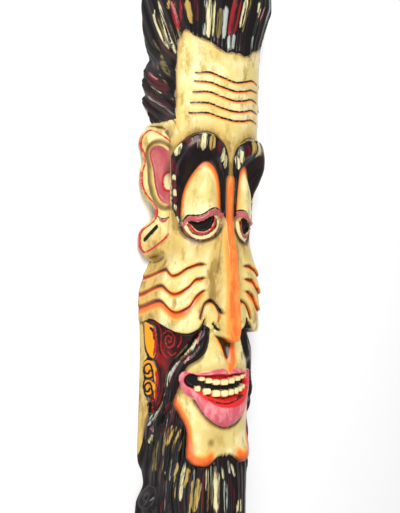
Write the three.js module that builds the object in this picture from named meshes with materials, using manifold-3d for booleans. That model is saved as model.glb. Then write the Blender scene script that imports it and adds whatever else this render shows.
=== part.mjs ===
// A long narrow folk mask, carved from one half round of a log and painted all over.
// It lies on its back rim: +X runs across the face, +Y to the top of the head, +Z out of the face.
import * as THREE from 'three';
import Module from 'manifold-3d';

// Driving dimensions, in millimetres
const maskLength = 1000;        // top of the hair to the end of the beard
const logHalfWidth = 92;        // half the width of the half round
const logDepth = 97;            // flat back to the front of the half round
const rimWall = 12;             // wood beside the hollow where the rim is narrowest
const hollowDepth = 50;         // flat back to the floor of the hollow
const endBlock = 60;            // solid wood past each end of the hollow
const earThickness = 8;         // rim of the ear, front to back
const browRise = 20;            // outer brow above the skin between the brows
const lidSink = 14.5;           // edge of the eyelid below the half round
const lidSwell = 7.5;           // middle of the eyelid above its edge
const marginRise = 2.5;         // pink rim of the eyelid above the lid
const eyeRecess = 7;            // opening of the eye below the lid
const noseRise = 24;            // tip of the nose above the lip under it
const cheekSwell = 15;          // outer cheek above the skin beside the nose
const foldStep = 3.4;           // step of one cheek fold over the next
const panelSink = 15;           // scroll panel below the half round
const moustacheRise = 6;        // moustache above the lip beside it
const lipRise = 4.5;            // lips above the skin around them
const mouthRecess = 12;         // dark of the mouth below the lips
const toothRise = 8.5;          // teeth above the dark of the mouth
const lockDepth = 4;            // grooves between the locks of hair
const curlRise = 7;             // curl at each side of the beard above the locks

// The carving is drawn for a half round of this length and size, and scales with it
const drawnLength = 1000;
const drawnHalfWidth = 92;
const drawnDepth = 97;
const drawnRadius = 95;         // girth on the drawing = angle from the middle x this radius
const quarterGirth = drawnRadius * Math.PI / 2;
const alongScale = maskLength / drawnLength;
const acrossScale = logHalfWidth / drawnHalfWidth;
const depthScale = logDepth / drawnDepth;
const halfLength = drawnLength / 2;
const step = 3;                 // half the width of a carved step, seen from the front

// Eases from 0 to 1 between two values, which may stand in either order
const smooth = (from, to, value) => {
  const share = THREE.MathUtils.clamp((value - from) / (to - from), 0, 1);
  return share * share * (3 - 2 * share);
};
const mix = THREE.MathUtils.lerp;
const bell = (value, middle, width) => Math.exp(-(((value - middle) / width) ** 2));
// 1 inside an outline and 0 outside it, for its distance
const inside = (distance) => smooth(step, -step, distance);

// Curve from one level to another with the given slopes at its ends
function cubic(share, from, to, fromSlope, toSlope) {
  const [square, cube] = [share ** 2, share ** 3];
  const start = (2 * cube - 3 * square + 1) * from + (cube - 2 * square + share) * fromSlope;
  return start + (3 * square - 2 * cube) * to + (cube - square) * toSlope;
}

// A value that runs smoothly through stops of [place, value]
function runs(stops) {
  const places = stops.slice().sort((a, b) => a[0] - b[0]);
  const rises = places.slice(1).map((stop, i) => (stop[1] - places[i][1]) / (stop[0] - places[i][0]));
  const slopes = places.map((_, i) => {
    const [before, after] = [rises[i - 1] || 0, rises[i] || 0];
    return before * after > 0 ? 2 * before * after / (before + after) : 0;
  });
  return (value) => {
    const next = THREE.MathUtils.clamp(places.findIndex((stop) => stop[0] > value), 1, places.length - 1);
    const last = value >= places[places.length - 1][0];
    const i = last ? places.length - 2 : next - 1;
    const gap = places[i + 1][0] - places[i][0];
    const share = THREE.MathUtils.clamp((value - places[i][0]) / gap, 0, 1);
    return cubic(share, places[i][1], places[i + 1][1], slopes[i] * gap, slopes[i + 1] * gap);
  };
}

// A level over the whole face, smooth through columns of [girth, stops along the mask]
function sheet(columns) {
  const lines = columns.map(([girth, stops]) => [girth, runs(stops)]);
  return (girth, y) => {
    const levels = lines.map(([, line]) => line(y));
    const places = lines.map(([place]) => place);
    if (girth <= places[0]) return levels[0];
    const next = places.findIndex((place) => place >= girth);
    if (next < 0) return levels[levels.length - 1];
    const slopeAt = (i) => {
      if (i === 0 || i === places.length - 1) return 0;
      return (levels[i + 1] - levels[i - 1]) / (places[i + 1] - places[i - 1]);
    };
    const gap = places[next] - places[next - 1];
    const share = (girth - places[next - 1]) / gap;
    return cubic(share, levels[next - 1], levels[next], slopeAt(next - 1) * gap, slopeAt(next) * gap);
  };
}

// Distance to a smooth line through points of [girth, place along]; negative inside a closed one
function drawn(points, closed = true, steps = 3) {
  const knots = points.map(([girth, y]) => new THREE.Vector3(girth, y, 0));
  const curve = new THREE.CatmullRomCurve3(knots, closed, 'centripetal');
  const line = curve.getPoints(points.length * steps);
  return (girth, y) => {
    let nearest = Infinity;
    let isInside = false;
    for (let i = 1; i < line.length; i += 1) {
      const [a, b] = [line[i - 1], line[i]];
      const [dx, dy] = [b.x - a.x, b.y - a.y];
      const reach = ((girth - a.x) * dx + (y - a.y) * dy) / (dx * dx + dy * dy || 1);
      const share = THREE.MathUtils.clamp(reach, 0, 1);
      nearest = Math.min(nearest, Math.hypot(girth - a.x - share * dx, y - a.y - share * dy));
      const crosses = (a.y > y) !== (b.y > y) && girth < a.x + (y - a.y) / dy * dx;
      if (crosses) isInside = !isInside;
    }
    return closed && isInside ? -nearest : nearest;
  };
}

// Half width of the half round along the mask: waves of the side hair, waist, cheeks and curls
const sideHalfWidth = runs([
  [500, 82], [480, 91], [440, 94], [400, 91], [350, 95], [293, 91], [266, 84], [250, 90],
  [240, 92.5], [228, 91], [221, 89], [212, 91.5], [203, 89], [190, 80], [178, 75], [165, 84],
  [90, 92], [10, 84], [-8, 71], [-30, 80], [-63, 88], [-118, 86], [-200, 83], [-282, 82],
  [-314, 75], [-340, 86], [-375, 88], [-402, 80], [-430, 87], [-470, 82], [-500, 66],
]);

// Depth below the half round of the bare skin, the hair and the beard
const skinLevel = sheet([
  [0, [
    [290, 6], [230, 6.5], [170, 8], [130, 11], [60, 12], [20, 13], [-50, 15], [-100, 16],
    [-112, 15], [-130, 9], [-150, 4], [-200, 6], [-240, 10], [-265, 8], [-285, 8],
  ]],
  [35, [
    [290, 6], [170, 8], [130, 13], [30, 14], [0, 13], [-50, 13], [-100, 11], [-130, 8],
    [-160, 5], [-200, 6], [-240, 8], [-265, 4], [-280, 3],
  ]],
  [70, [
    [290, 3], [170, 4], [130, 12], [30, 12], [0, 10], [-50, 9], [-130, 9], [-165, 10], [-200, 9],
    [-240, 6], [-265, 3], [-280, 3],
  ]],
  [100, [[290, 2], [170, 2], [0, 8], [-50, 8], [-130, 8], [-200, 4], [-280, 4]]],
  [130, [[290, 0], [10, 0], [-50, 2], [-130, 3], [-200, 1], [-280, 0]]],
]);
const hairLevel = sheet([
  [0, [[500, 16], [487, 5], [450, -3], [400, -8], [350, -10], [320, -4], [300, 1], [280, 3]]],
  [84, [
    [500, 16], [487, 5], [450, -4], [400, -10], [350, -13], [335, -9], [310, -3], [290, 1],
    [165, 0],
  ]],
  [130, [[500, 12], [487, 4], [450, 0], [350, -2], [290, 0], [165, 0]]],
]);
const beardLevel = sheet([
  [0, [
    [-260, 10], [-285, 9], [-300, 8], [-350, 5], [-400, 2], [-450, 2], [-480, 8], [-500, 22],
  ]],
  [40, [
    [-260, 10], [-285, 8], [-300, 7], [-350, 5], [-400, 3], [-450, 3], [-480, 9], [-500, 22],
  ]],
  [84, [
    [-185, 5], [-200, 6], [-222, 8], [-250, 4], [-290, 4], [-305, 6], [-350, 6], [-400, 4],
    [-450, 4], [-480, 10], [-500, 22],
  ]],
  [120, [[-200, 5], [-250, 3], [-400, 3], [-450, 4], [-480, 8], [-500, 18]]],
]);

// Share of the cheek's swell, from the nose to the side
const cheekShare = sheet([
  [22, [[20, 0], [-115, 0]]],
  [48, [[20, 0], [0, 0.15], [-20, 0.35], [-50, 0.6], [-95, 0.7], [-115, 0]]],
  [76, [[20, 0.05], [0, 0.3], [-20, 0.72], [-50, 1], [-95, 1], [-107, 0.8], [-118, 0]]],
  [100, [[20, 0], [0, 0.2], [-20, 0.5], [-50, 0.82], [-90, 0.78], [-105, 0.4], [-115, 0]]],
  [132, [[0, 0], [-50, 0.15], [-90, 0.1], [-100, 0]]],
]);

// Outlines of the carving, for the half with rising girth
const foreheadEdge = drawn([
  [0, 274], [17, 273], [33, 279], [43, 285], [66, 292], [78, 300], [87, 290], [91, 270],
  [91, 200], [88, 160], [70, 120], [30, 100], [0, 100], [-30, 120], [-30, 250],
]);
const browEdge = drawn([
  [9, 103], [5, 110], [4.5, 120], [5, 130], [8, 140], [15, 150], [25, 156], [33, 160], [42, 162],
  [50, 162], [60, 160], [70, 155], [78, 149], [85, 143], [91, 135], [96, 122], [98, 105],
  [98, 85], [96, 70], [92, 58], [88, 50], [84, 42], [78, 30], [70, 33], [60, 60], [17, 56],
  [8.5, 50], [8.5, 60], [9.5, 80],
]);
const lidEdge = drawn([
  [79, 34], [82, 45], [82.5, 60], [81, 75], [77.5, 88], [72, 99], [65, 109], [58, 117],
  [51, 123], [45, 125.5], [38, 125], [30, 120], [25, 113], [21, 105], [18.5, 95], [17, 85],
  [15, 58], [14, 45], [18, 34], [28, 25], [40, 21], [52, 20], [64, 22], [74, 27],
]);
const lidMargin = drawn([
  [77, 39], [72, 44], [68, 47], [55, 47.3], [48, 48.7], [42, 52], [36, 55.7], [28, 57.2],
  [20, 55.5], [13, 52.5],
], false);
const eyeOpening = drawn([
  [70, 43], [65, 44], [55, 43], [48, 44.5], [42, 47.5], [36, 50.5], [28, 52], [29, 45], [32, 38],
  [38, 33], [44, 31], [50, 31], [56, 32.5], [63, 38],
]);
const cheekBottom = drawn([
  [165, -92], [140, -92], [132, -89.5], [125, -89], [118, -90], [110, -93], [100, -97],
  [90, -101], [82, -104], [74, -105.5], [66, -106], [58, -104], [50, -99], [45, -93], [42, -86],
  [32, -80], [21, -70], [17, -40], [17, 20], [17, 60], [165, 60], [165, -60],
]);
const cheekFolds = [
  runs([[149, -32], [104, -20], [86, -28], [66, -17], [50, -12], [40, -12]]),
  runs([[149, -55], [106, -42], [83, -52], [66, -43], [55, -32], [36, -30]]),
  runs([[149, -72], [106, -62], [81, -76], [66, -70], [55, -55], [45, -48], [33, -46]]),
];
const panelEdge = drawn([
  [138, -88], [134, -105], [131, -120], [127, -133], [124, -138], [136, -146], [137, -160],
  [133, -170], [136, -182], [128, -193], [122, -205], [120, -216], [112, -210], [105, -203],
  [99, -192], [96, -182], [93, -160], [80, -140], [70, -132], [60, -122], [52, -112], [48, -104],
  [60, -96], [100, -88],
]);
const moustacheEdge = drawn([
  [33, -100], [33, -112], [38, -128], [50, -139], [65, -148], [73, -162], [77, -175], [83, -190],
  [90, -206], [101, -222], [113, -236], [128, -250], [137, -246], [133, -237], [122, -225],
  [115, -215], [106, -205], [100, -192], [98, -182], [97, -172], [93, -160], [88, -150],
  [80, -140], [70, -132], [60, -122], [52, -112], [47, -103], [43, -94], [38, -96],
]);
const lipsEdge = drawn([
  [3, -156.5], [7, -153], [12, -151.5], [28, -153.5], [35, -156], [55, -157.5], [65, -156],
  [72, -157], [77, -160], [79, -166], [77, -172], [75, -177], [70, -183], [62, -188], [52, -193],
  [47, -200], [42, -208], [35, -215], [27, -221], [18, -226], [8, -229], [0, -230], [-30, -200],
]);
const mouthOpening = drawn([
  [0, -160.5], [20, -158.5], [35, -159.5], [50, -159.5], [61, -158.5], [67, -162], [69.5, -168],
  [65, -174], [58, -177], [48, -180], [38, -187], [25, -191.5], [10, -194], [0, -194.5],
  [-25, -180],
]);
const chinEdge = drawn([
  [35, -104], [33, -112], [38, -128], [50, -139], [65, -148], [74, -160], [80, -172], [86, -180],
  [87.5, -187], [84, -200], [79, -208], [72, -218], [66, -228], [63, -240], [64, -266],
  [60, -273], [54, -278], [45, -280.5], [36, -281], [28, -279], [21, -274], [14, -270.5],
  [7, -268.5], [0, -268], [-30, -230], [-30, -130], [0, -106],
]);

// The scroll panel rises to meet the plain strip at its outer side
const panelShare = runs([[96, 1], [112, 0.86], [124, 0.5], [133, 0.18], [140, 0.05]]);

// Teeth: girth and place of the middle, half width, half height
const upperTeeth = [
  [5, -169.5, 6, 4], [20, -168, 5.5, 4], [34, -166, 5.5, 4], [46, -164, 4.5, 3],
];
const lowerTeeth = [
  [5, -185, 5.5, 4], [20, -184.5, 5.5, 4], [35, -181.5, 5, 4], [47, -177.5, 4.5, 3],
];

// Outlines on the ear, drawn as it is seen from the side of the face
const earEdge = drawn([
  [40, 146], [50, 165], [60, 168], [70, 169.5], [80, 171], [88, 171.5], [95, 168], [101, 162],
  [104.5, 152], [103.5, 143], [100, 138], [97, 132], [96.5, 127], [98, 120], [101, 112],
  [102, 105], [101, 95], [98, 85], [93, 77], [86, 70.5], [79.5, 66], [75, 60.5], [74, 55.5],
  [76, 50], [80, 46], [86, 41.5], [93, 37], [99, 32], [102, 26], [102.5, 18], [101.5, 9],
  [98.5, 3], [94, 0], [84, -4], [60, 10], [40, 30],
]);
const earReach = runs([
  [184, 79], [172, 87], [162, 99.5], [152, 103], [138, 98.5], [127, 95], [112, 99.5], [100, 100],
  [85, 96], [77, 91], [66, 77], [56, 71], [46, 77], [37, 90], [26, 99], [9, 98.5], [0, 91],
  [-12, 82],
]);
// upper edge of the beard, from the chin outwards
const beardTop = runs([
  [0, -206], [100, -206], [112, -208], [122, -215], [134, -238], [140, -260], [149, -275],
]);
const conchaEdge = drawn([
  [45, 129], [50, 135], [60, 142.5], [70, 146.5], [78, 146.5], [84, 143], [87, 137], [87, 131],
  [84, 123], [81, 115], [79, 105], [77, 95], [74, 85], [70, 76], [64, 70], [58, 68], [46, 72],
]);
const earGroove = drawn([
  [45, 139], [55, 147], [62, 150.5], [70, 152], [78, 151], [84, 148], [89, 143], [91, 137],
  [91, 130], [88, 122], [86, 103], [85, 95], [82, 86], [79, 78], [74, 70], [67, 64], [60, 61.5],
  [53, 62], [48, 65],
], false);
const lobeSlot = drawn([
  [90, 18.5], [80, 27.5], [70, 36.5],
], false);
const tragus = { girth: 51, y: 98, halfWidth: 8.5, halfHeight: 13 };

// Locks of hair: rounded strands with grooves between them, counted across their run
const lockPitch = 21;
const locks = (across) => {
  const uneven = across + 3.2 * Math.sin(across / 13.7);
  return lockDepth * (1 - Math.abs(Math.sin(uneven / lockPitch * Math.PI)));
};

// Locks stand upright above the face and lean in at its sides; beside it they run down and in
function hairDepth(girth, y) {
  const lean = 0.36 * smooth(60, 118, girth) * (y - 290);
  const sway = 5 * (Math.sin((y - 330) / 38) + 0.9) * smooth(350, 420, y);
  const top = locks(girth + sway - lean);
  const side = locks(y * 0.8 - girth * 0.6 + 3 * Math.sin(girth / 9));
  const above = smooth(262, 284, y - 0.25 * (girth - 100));
  return hairLevel(girth, y) + mix(side, top, above);
}

// Locks of the beard fan out below the chin, round a curl at each side
const sideCurl = { girth: 121, y: -327, core: 9, reach: 19 };

function beardDepth(girth, y) {
  const fan = 1 + 0.0016 * THREE.MathUtils.clamp(-255 - y, -60, 100);
  const sway = 4.5 * Math.sin((y + 285) / 17) * smooth(-250, -300, y) * smooth(25, 80, girth);
  const fromCurl = Math.hypot(girth - sideCurl.girth, y - sideCurl.y);
  const curl = smooth(sideCurl.reach, sideCurl.core, fromCurl);
  return beardLevel(girth, y) + locks(girth / fan + sway) * (1 - curl) - curlRise * curl;
}

// The brow is a thick ring round the lid, highest at its outer side and fading at its foot
const browShare = runs([[8, 0.03], [25, 0.4], [40, 0.65], [60, 0.85], [75, 0.95], [92, 0.9]]);
const browFoot = runs([[66, 0], [46, 4], [36, 9], [26, 13]]);
// the outer end of the brow lies lower, beside the lid
const browEnd = runs([[128, 0], [105, 6], [88, 13], [66, 15], [46, 12], [26, 8]]);

function browDepth(girth, y, outer, lid) {
  const lowered = browFoot(y) * smooth(30, 60, girth) + browEnd(y) * smooth(58, 86, girth);
  const crest = 10 - browRise * browShare(girth) + lowered;
  const fromEdge = Math.max(0, -outer);
  const gone = fromEdge / (fromEdge + Math.max(0.01, lid));
  const dome = 2 * smooth(0.3, 0, gone);
  return mix(crest + dome, lidSink, smooth(0.3, 1.05, gone) ** 1.3);
}

const lidFullness = runs([[126, 0.5], [80, 1], [40, 1], [20, 0.6]]);

function lidDepth(girth, y, lid) {
  const eye = eyeOpening(girth, y);
  const swell = lidSwell * smooth(0, 24, -lid) * lidFullness(y);
  const rim = marginRise * bell(lidMargin(girth, y), 0, 4.2);
  const lower = 1.8 * bell(eye, 6.5, 3.5) * smooth(48, 38, y);
  return lidSink - swell - rim - lower + eyeRecess * smooth(1, -3, eye);
}

// The nose: a long ridge that widens downwards and overhangs the lip, with a wing at each side
const noseTop = runs([[125, 0.2], [60, 0.2], [20, 0.45], [0, 0.66], [-50, 0.83], [-100, 1]]);
const noseFlat = runs([[106, 7], [60, 6], [0, 6.5], [-60, 8], [-100, 9]]);
const noseBase = runs([[125, 9], [100, 10], [60, 11], [20, 14], [-20, 20], [-50, 27], [-75, 26],
  [-110, 24]]);
const noseFoot = 16;            // lip under the nose, below the half round
const noseEnd = -115;
const nostrilWing = { girth: 33, y: -82, halfWidth: 15.5, halfHeight: 20, depth: 4.5 };

function noseDepth(girth, y, skin) {
  const top = noseFoot - noseRise * noseTop(y);
  const side = THREE.MathUtils.clamp((girth - noseFlat(y)) / (noseBase(y) - noseFlat(y)), 0, 1);
  const ridge = mix(top, skin, smooth(0, 1, side) * 0.6 + side * 0.4);
  const over = smooth(-step, step, y - noseEnd - 0.02 * girth ** 2) * smooth(124, 108, y);
  const across = (girth - nostrilWing.girth) / nostrilWing.halfWidth;
  const away = Math.hypot(across, (y - nostrilWing.y) / nostrilWing.halfHeight);
  const depth = mix(skin, ridge, over);
  return mix(depth, Math.min(depth, nostrilWing.depth + 3 * away ** 2), smooth(1.15, 0.75, away));
}

// Each fold of the cheek laps over the next, stepping down under its wavy edge
function foldDepth(girth, y) {
  return cheekFolds.reduce((depth, fold) => {
    const below = fold(girth) - y;
    const under = smooth(-step, step, below) * Math.exp(-Math.max(0, below) / 9);
    const lip = 0.4 * smooth(-10, -step, below) * smooth(step, -step, below);
    const reach = smooth(30, 48, girth) * (1 - 0.75 * smooth(106, 130, girth));
    return depth + reach * foldStep * (under - lip);
  }, 0);
}

function mouthDepth(girth, y) {
  const rise = [...upperTeeth, ...lowerTeeth].map(([at, level, halfWidth, halfHeight]) => {
    const away = ((girth - at) / halfWidth) ** 4 + ((y - level) / halfHeight) ** 4;
    return smooth(2.4, 0.4, away);
  });
  return (mouthRecess - toothRise * Math.max(...rise)) * smooth(1, -3, mouthOpening(girth, y));
}

// Depth below the half round of the whole face, ears left out
function faceDepth(girth, y) {
  const besideForehead = smooth(150, 172, y) * (1 - inside(foreheadEdge(girth, y)));
  let depth = mix(skinLevel(girth, y), hairDepth(girth, y), besideForehead);

  const cheek = cheekBottom(girth, y);
  const onCheek = smooth(35, 12, y) * inside(cheek);
  depth += (foldDepth(girth, y) - cheekSwell * cheekShare(girth, y)) * onCheek;

  const panel = inside(panelEdge(girth, y));
  depth = mix(depth, panelSink * panelShare(girth) + 2, panel * (1 - inside(cheek)));

  const chin = inside(chinEdge(girth, y));
  const beardSide = smooth(-172, -190, y) * smooth(104, 90, girth);
  const onBeard = Math.max(beardSide, smooth(0, -24, y - beardTop(girth))) * (1 - chin) * (1 - panel);
  depth = mix(depth, beardDepth(girth, y), onBeard);
  depth -= 3 * bell(girth, 44, 17) * bell(y, -270, 11) * chin;
  depth -= moustacheRise * smooth(2, -5, moustacheEdge(girth, y));

  const brow = browEdge(girth, y);
  const lid = lidEdge(girth, y);
  const outer = Math.min(brow, lid);
  depth = mix(depth, browDepth(girth, y, outer, lid), inside(outer));
  depth = mix(depth, lidDepth(girth, y, lid), smooth(2, -2, lid));

  depth = noseDepth(girth, y, depth);
  depth += 5 * bell(girth, 0, 6.5) * smooth(-117, -124, y) * smooth(-154, -143, y);
  depth -= lipRise * smooth(2, -5, lipsEdge(girth, y));
  depth -= 3.5 * bell(girth, 0, 34) * bell(y, -214, 13);
  return depth + mouthDepth(girth, y);
}

// The ear stands out from the side of the head like a flange, its front sloping to the rim
const earRoot = { x: 66, z: 40 };
const earSlope = 0.875;          // fall of the ear's front for each millimetre outwards
const seenFrom = 0.781;          // shift of the drawing for each millimetre of height
const drawingHeight = 18;
const rootHalfWidth = 64;        // half width of the back rim behind the ears
const earFront = (x) => earRoot.z - (x - earRoot.x) * earSlope;
const seenAt = (x) => x - (earFront(x) - drawingHeight) * seenFrom;
const reachAt = (seen) => {
  const atRoot = seenAt(earRoot.x);
  return earRoot.x + (seen - atRoot) / (1 + earSlope * seenFrom);
};

function earCarving(seen, y) {
  const outside = 8 * smooth(-1, 3, earEdge(seen, y));
  const bowl = 7 * smooth(1, -8, conchaEdge(seen, y)) + 2.5 * bell(earGroove(seen, y), 0, 3);
  const across = (seen - tragus.girth) / tragus.halfWidth;
  const high = (y - tragus.y) / tragus.halfHeight;
  const bump = 6 * smooth(1.1, 0.6, Math.hypot(across, high));
  const slot = 3.5 * smooth(4, 2, lobeSlot(seen, y));
  return outside + bowl - bump + slot;
}

// One point of the ear's section: share 0 at the brow, 1 on the back rim
function earPoint(share, y) {
  const rim = reachAt(earReach(y));
  const stops = { front: 0.72, back: 0.85, foot: 0.94 };
  if (share <= stops.front) {
    const x = mix(earRoot.x, rim, share / stops.front);
    return [x, earFront(x) - earCarving(seenAt(x), y) * smooth(0, 0.12, share)];
  }
  const rimFront = [rim, earFront(rim) - earCarving(seenAt(rim), y)];
  const rimBack = [rim - 1, Math.max(3, rimFront[1] - earThickness)];
  const foot = [rootHalfWidth + 1, 5];
  const bottom = [rootHalfWidth, 0];
  const legs = [[stops.front, stops.back, rimFront, rimBack], [stops.back, stops.foot, rimBack, foot],
    [stops.foot, 1, foot, bottom]];
  const [from, to, start, end] = legs.find((leg) => share <= leg[1]);
  const part = (share - from) / (to - from);
  return [mix(start[0], end[0], part), mix(start[1], end[1], part)];
}

// Lowest and highest place of the ear across its section, and how far it stands out there
const earStart = 92;
const earLow = runs([[0, 27], [0.2, 15], [0.45, 4], [0.72, -3], [1, -5]]);
const earHigh = runs([[0, 156], [0.15, 164], [0.35, 171], [0.72, 174], [1, 174]]);
const earRows = (share, y) => (
  smooth(earLow(share) - 9, earLow(share) + 1, y) * smooth(earHigh(share) + 9, earHigh(share) - 1, y));

// One point of the mask's surface, for the half with rising girth
function surfacePoint(girth, y) {
  const angle = girth / drawnRadius;
  const depth = faceDepth(girth, y);
  const halfWidth = mix(drawnHalfWidth, sideHalfWidth(y), smooth(82, 128, girth));
  let [x, z] = [(halfWidth - depth) * Math.sin(angle), (drawnDepth - depth) * Math.cos(angle)];
  const share = (girth - earStart) / (quarterGirth - earStart);
  const standsOut = share > 0 ? earRows(share, y) : 0;
  if (standsOut > 0) {
    const [earX, earZ] = earPoint(share, y);
    x = mix(x, earX, standsOut);
    z = mix(z, earZ, standsOut);
  }
  return [x * acrossScale, y * alongScale, Math.max(0, z) * depthScale];
}

// Rows along the mask, closer where the carving is finer
function rowsAlong() {
  const stretches = [
    [500, 308, 8], [308, 170, 13], [170, 20, 23], [20, -84, 14], [-84, -120, 7],
    [-120, -236, 20], [-236, -290, 7], [-290, -500, 9],
  ];
  const rows = stretches.flatMap(([from, to, count]) => (
    Array.from({ length: count }, (_, i) => mix(from, to, i / count))));
  return [...rows, -halfLength];
}

const girthColumns = [
  0, 6, 12, 18, 25, 32, 39, 46, 53, 60, 67, 74, 81, 87, 93, 99, 107, 115, 123, 132, 140, 145,
  quarterGirth,
];

// Flat end of a loft: the ring's own outline, filled, and turned to face along or against +Y
function endFaces(ring, start, facesUp) {
  const contour = ring.map(([x, , z]) => new THREE.Vector2(x, z));
  return THREE.ShapeUtils.triangulateShape(contour, []).flatMap(([a, b, c]) => {
    const clockwise = THREE.ShapeUtils.area([contour[a], contour[b], contour[c]]) < 0;
    const turned = clockwise === facesUp ? [a, b, c] : [a, c, b];
    return turned.map((corner) => start + corner);
  });
}

// A closed solid from rings of points, each ring running once round at one place along the mask
function loft(rings) {
  const count = rings[0].length;
  const faces = [];
  for (let row = 0; row + 1 < rings.length; row += 1) {
    for (let i = 0; i < count; i += 1) {
      const next = (i + 1) % count;
      const [a, b] = [row * count + i, row * count + next];
      const [c, d] = [a + count, b + count];
      faces.push(a, c, b, b, c, d);
    }
  }
  faces.push(...endFaces(rings[0], 0, true));
  faces.push(...endFaces(rings[rings.length - 1], (rings.length - 1) * count, false));
  const geometry = new THREE.BufferGeometry();
  geometry.setAttribute('position', new THREE.Float32BufferAttribute(rings.flat(2), 3));
  geometry.setIndex(faces);
  return geometry;
}

function carvedLog() {
  const rings = rowsAlong().map((y) => {
    const half = girthColumns.map((girth) => surfacePoint(girth, y));
    const mirrored = half.slice(1).map(([x, along, z]) => [-x, along, z]);
    return [...mirrored.reverse(), ...half];
  });
  return loft(rings);
}

// The boat-shaped hollow of the back, open below, with round ends and a squarish section
function hollow() {
  const halfWidth = rootHalfWidth * acrossScale - rimWall;
  const reach = maskLength / 2 - endBlock;
  const endRun = halfWidth;
  const below = 10;
  const squareness = 2 / 3;
  const smallest = 0.12;
  const firstStep = 0.35;
  const turns = 12;
  const steps = 5;
  const bend = (share) => Math.sqrt(Math.max(0, 1 - share * share));
  const upper = Array.from({ length: steps }, (_, i) => {
    const angle = (i + firstStep) / steps * Math.PI / 2;
    return [reach - endRun * (1 - Math.cos(angle)), Math.max(smallest, bend(Math.cos(angle)))];
  });
  const all = [...upper, ...upper.slice().reverse().map(([y, size]) => [-y, size])];
  const rings = all.map(([y, size]) => {
    const arc = Array.from({ length: turns + 1 }, (_, i) => {
      const angle = Math.PI * (1 - i / turns);
      const [c, s] = [Math.cos(angle), Math.sin(angle)];
      const x = Math.sign(c) * Math.abs(c) ** squareness * halfWidth * size;
      const z = Math.max(0, s) ** squareness * hollowDepth * size;
      return [x, y, z];
    });
    return [[-halfWidth * size, y, -below], ...arc, [halfWidth * size, y, -below]];
  });
  return loft(rings);
}

function solid(wasm, geometry) {
  const mesh = new wasm.Mesh({
    numProp: 3,
    vertProperties: Float32Array.from(geometry.attributes.position.array),
    triVerts: Uint32Array.from(geometry.index.array),
  });
  return new wasm.Manifold(mesh);
}

function geometryOf(body) {
  const { vertProperties, triVerts } = body.getMesh();
  const geometry = new THREE.BufferGeometry();
  geometry.setAttribute('position', new THREE.Float32BufferAttribute(vertProperties, 3));
  geometry.setIndex(Array.from(triVerts));
  return geometry;
}

const wasm = await Module();
wasm.setup();

const body = solid(wasm, carvedLog()).subtract(solid(wasm, hollow()));
const paintedWood = new THREE.MeshStandardMaterial({ color: 0xe6d489, roughness: 0.35, metalness: 0 });
const mask = new THREE.Mesh(geometryOf(body), paintedWood);
mask.name = 'mask';

const object = new THREE.Group();
object.add(mask);
export default object;
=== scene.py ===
import bmesh
import bpy
import numpy as np
from mathutils import Matrix, Vector


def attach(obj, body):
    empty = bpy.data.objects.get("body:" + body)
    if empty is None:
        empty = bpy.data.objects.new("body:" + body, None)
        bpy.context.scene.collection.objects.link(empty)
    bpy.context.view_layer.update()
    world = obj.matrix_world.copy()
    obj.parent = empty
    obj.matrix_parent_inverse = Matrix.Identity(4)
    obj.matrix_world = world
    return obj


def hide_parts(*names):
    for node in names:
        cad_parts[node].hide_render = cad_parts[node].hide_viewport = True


# A long folk mask lying on its back rim. The carving is a relief over half a log, laid out on the girth
# (millimetres round from the middle, left is negative) and the place along the mask (top is positive).
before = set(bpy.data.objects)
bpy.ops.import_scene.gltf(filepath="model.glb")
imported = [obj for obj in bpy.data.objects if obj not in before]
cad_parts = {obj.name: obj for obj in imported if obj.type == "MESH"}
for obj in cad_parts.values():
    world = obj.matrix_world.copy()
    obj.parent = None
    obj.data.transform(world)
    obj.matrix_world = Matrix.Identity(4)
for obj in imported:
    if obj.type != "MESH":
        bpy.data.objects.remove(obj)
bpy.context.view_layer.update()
millimetre = 0.001

drawnRadius = 95.0
quarterGirth = drawnRadius * np.pi / 2
halfLength = 500.0

carving = {
    "logHalfWidth": 92.0,
    "logDepth": 97.0,
    "browRise": 20.0,
    "lidSink": 14.5,
    "lidSwell": 7.5,
    "marginRise": 2.5,
    "eyeRecess": 7.0,
    "cheekSwell": 15.0,
    "foldStep": 3.4,
    "panelSink": 15.0,
    "scrollRise": 2.4,
    "moustacheRise": 6.0,
    "lipRise": 4.5,
    "mouthRecess": 12.0,
    "toothRise": 8.5,
    "lockDepth": 4.0,
    "strandDepth": 1.4,
    "curlRise": 7.0,
    "earThickness": 8.0,
}


def ease(start, end, value):
    share = np.clip((value - start) / (end - start), 0, 1)
    return share * share * (3 - 2 * share)


def blend(one, other, share):
    return one + (other - one) * share


def hump(value, middle, width):
    return np.exp(-((value - middle) / width) ** 2)


def cubic(share, a, b, m, n):
    s2, s3 = share ** 2, share ** 3
    return (2 * s3 - 3 * s2 + 1) * a + (s3 - 2 * s2 + share) * m + (3 * s2 - 2 * s3) * b + (s3 - s2) * n


# a value that passes smoothly through stops of (place, value)
def runs(stops, value):
    ordered = sorted(stops)
    place = np.array([stop[0] for stop in ordered], float)
    level = np.array([stop[1] for stop in ordered], float)
    gap = np.diff(place)
    rise = np.diff(level) / gap
    slope = np.zeros(len(place))
    for i in range(1, len(place) - 1):
        if rise[i - 1] * rise[i] > 0:
            slope[i] = 2 * rise[i - 1] * rise[i] / (rise[i - 1] + rise[i])
    index = np.clip(np.searchsorted(place, value) - 1, 0, len(gap) - 1)
    share = np.clip((value - place[index]) / gap[index], 0, 1)
    leaving, arriving = slope[index] * gap[index], slope[index + 1] * gap[index]
    return cubic(share, level[index], level[index + 1], leaving, arriving)


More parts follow.
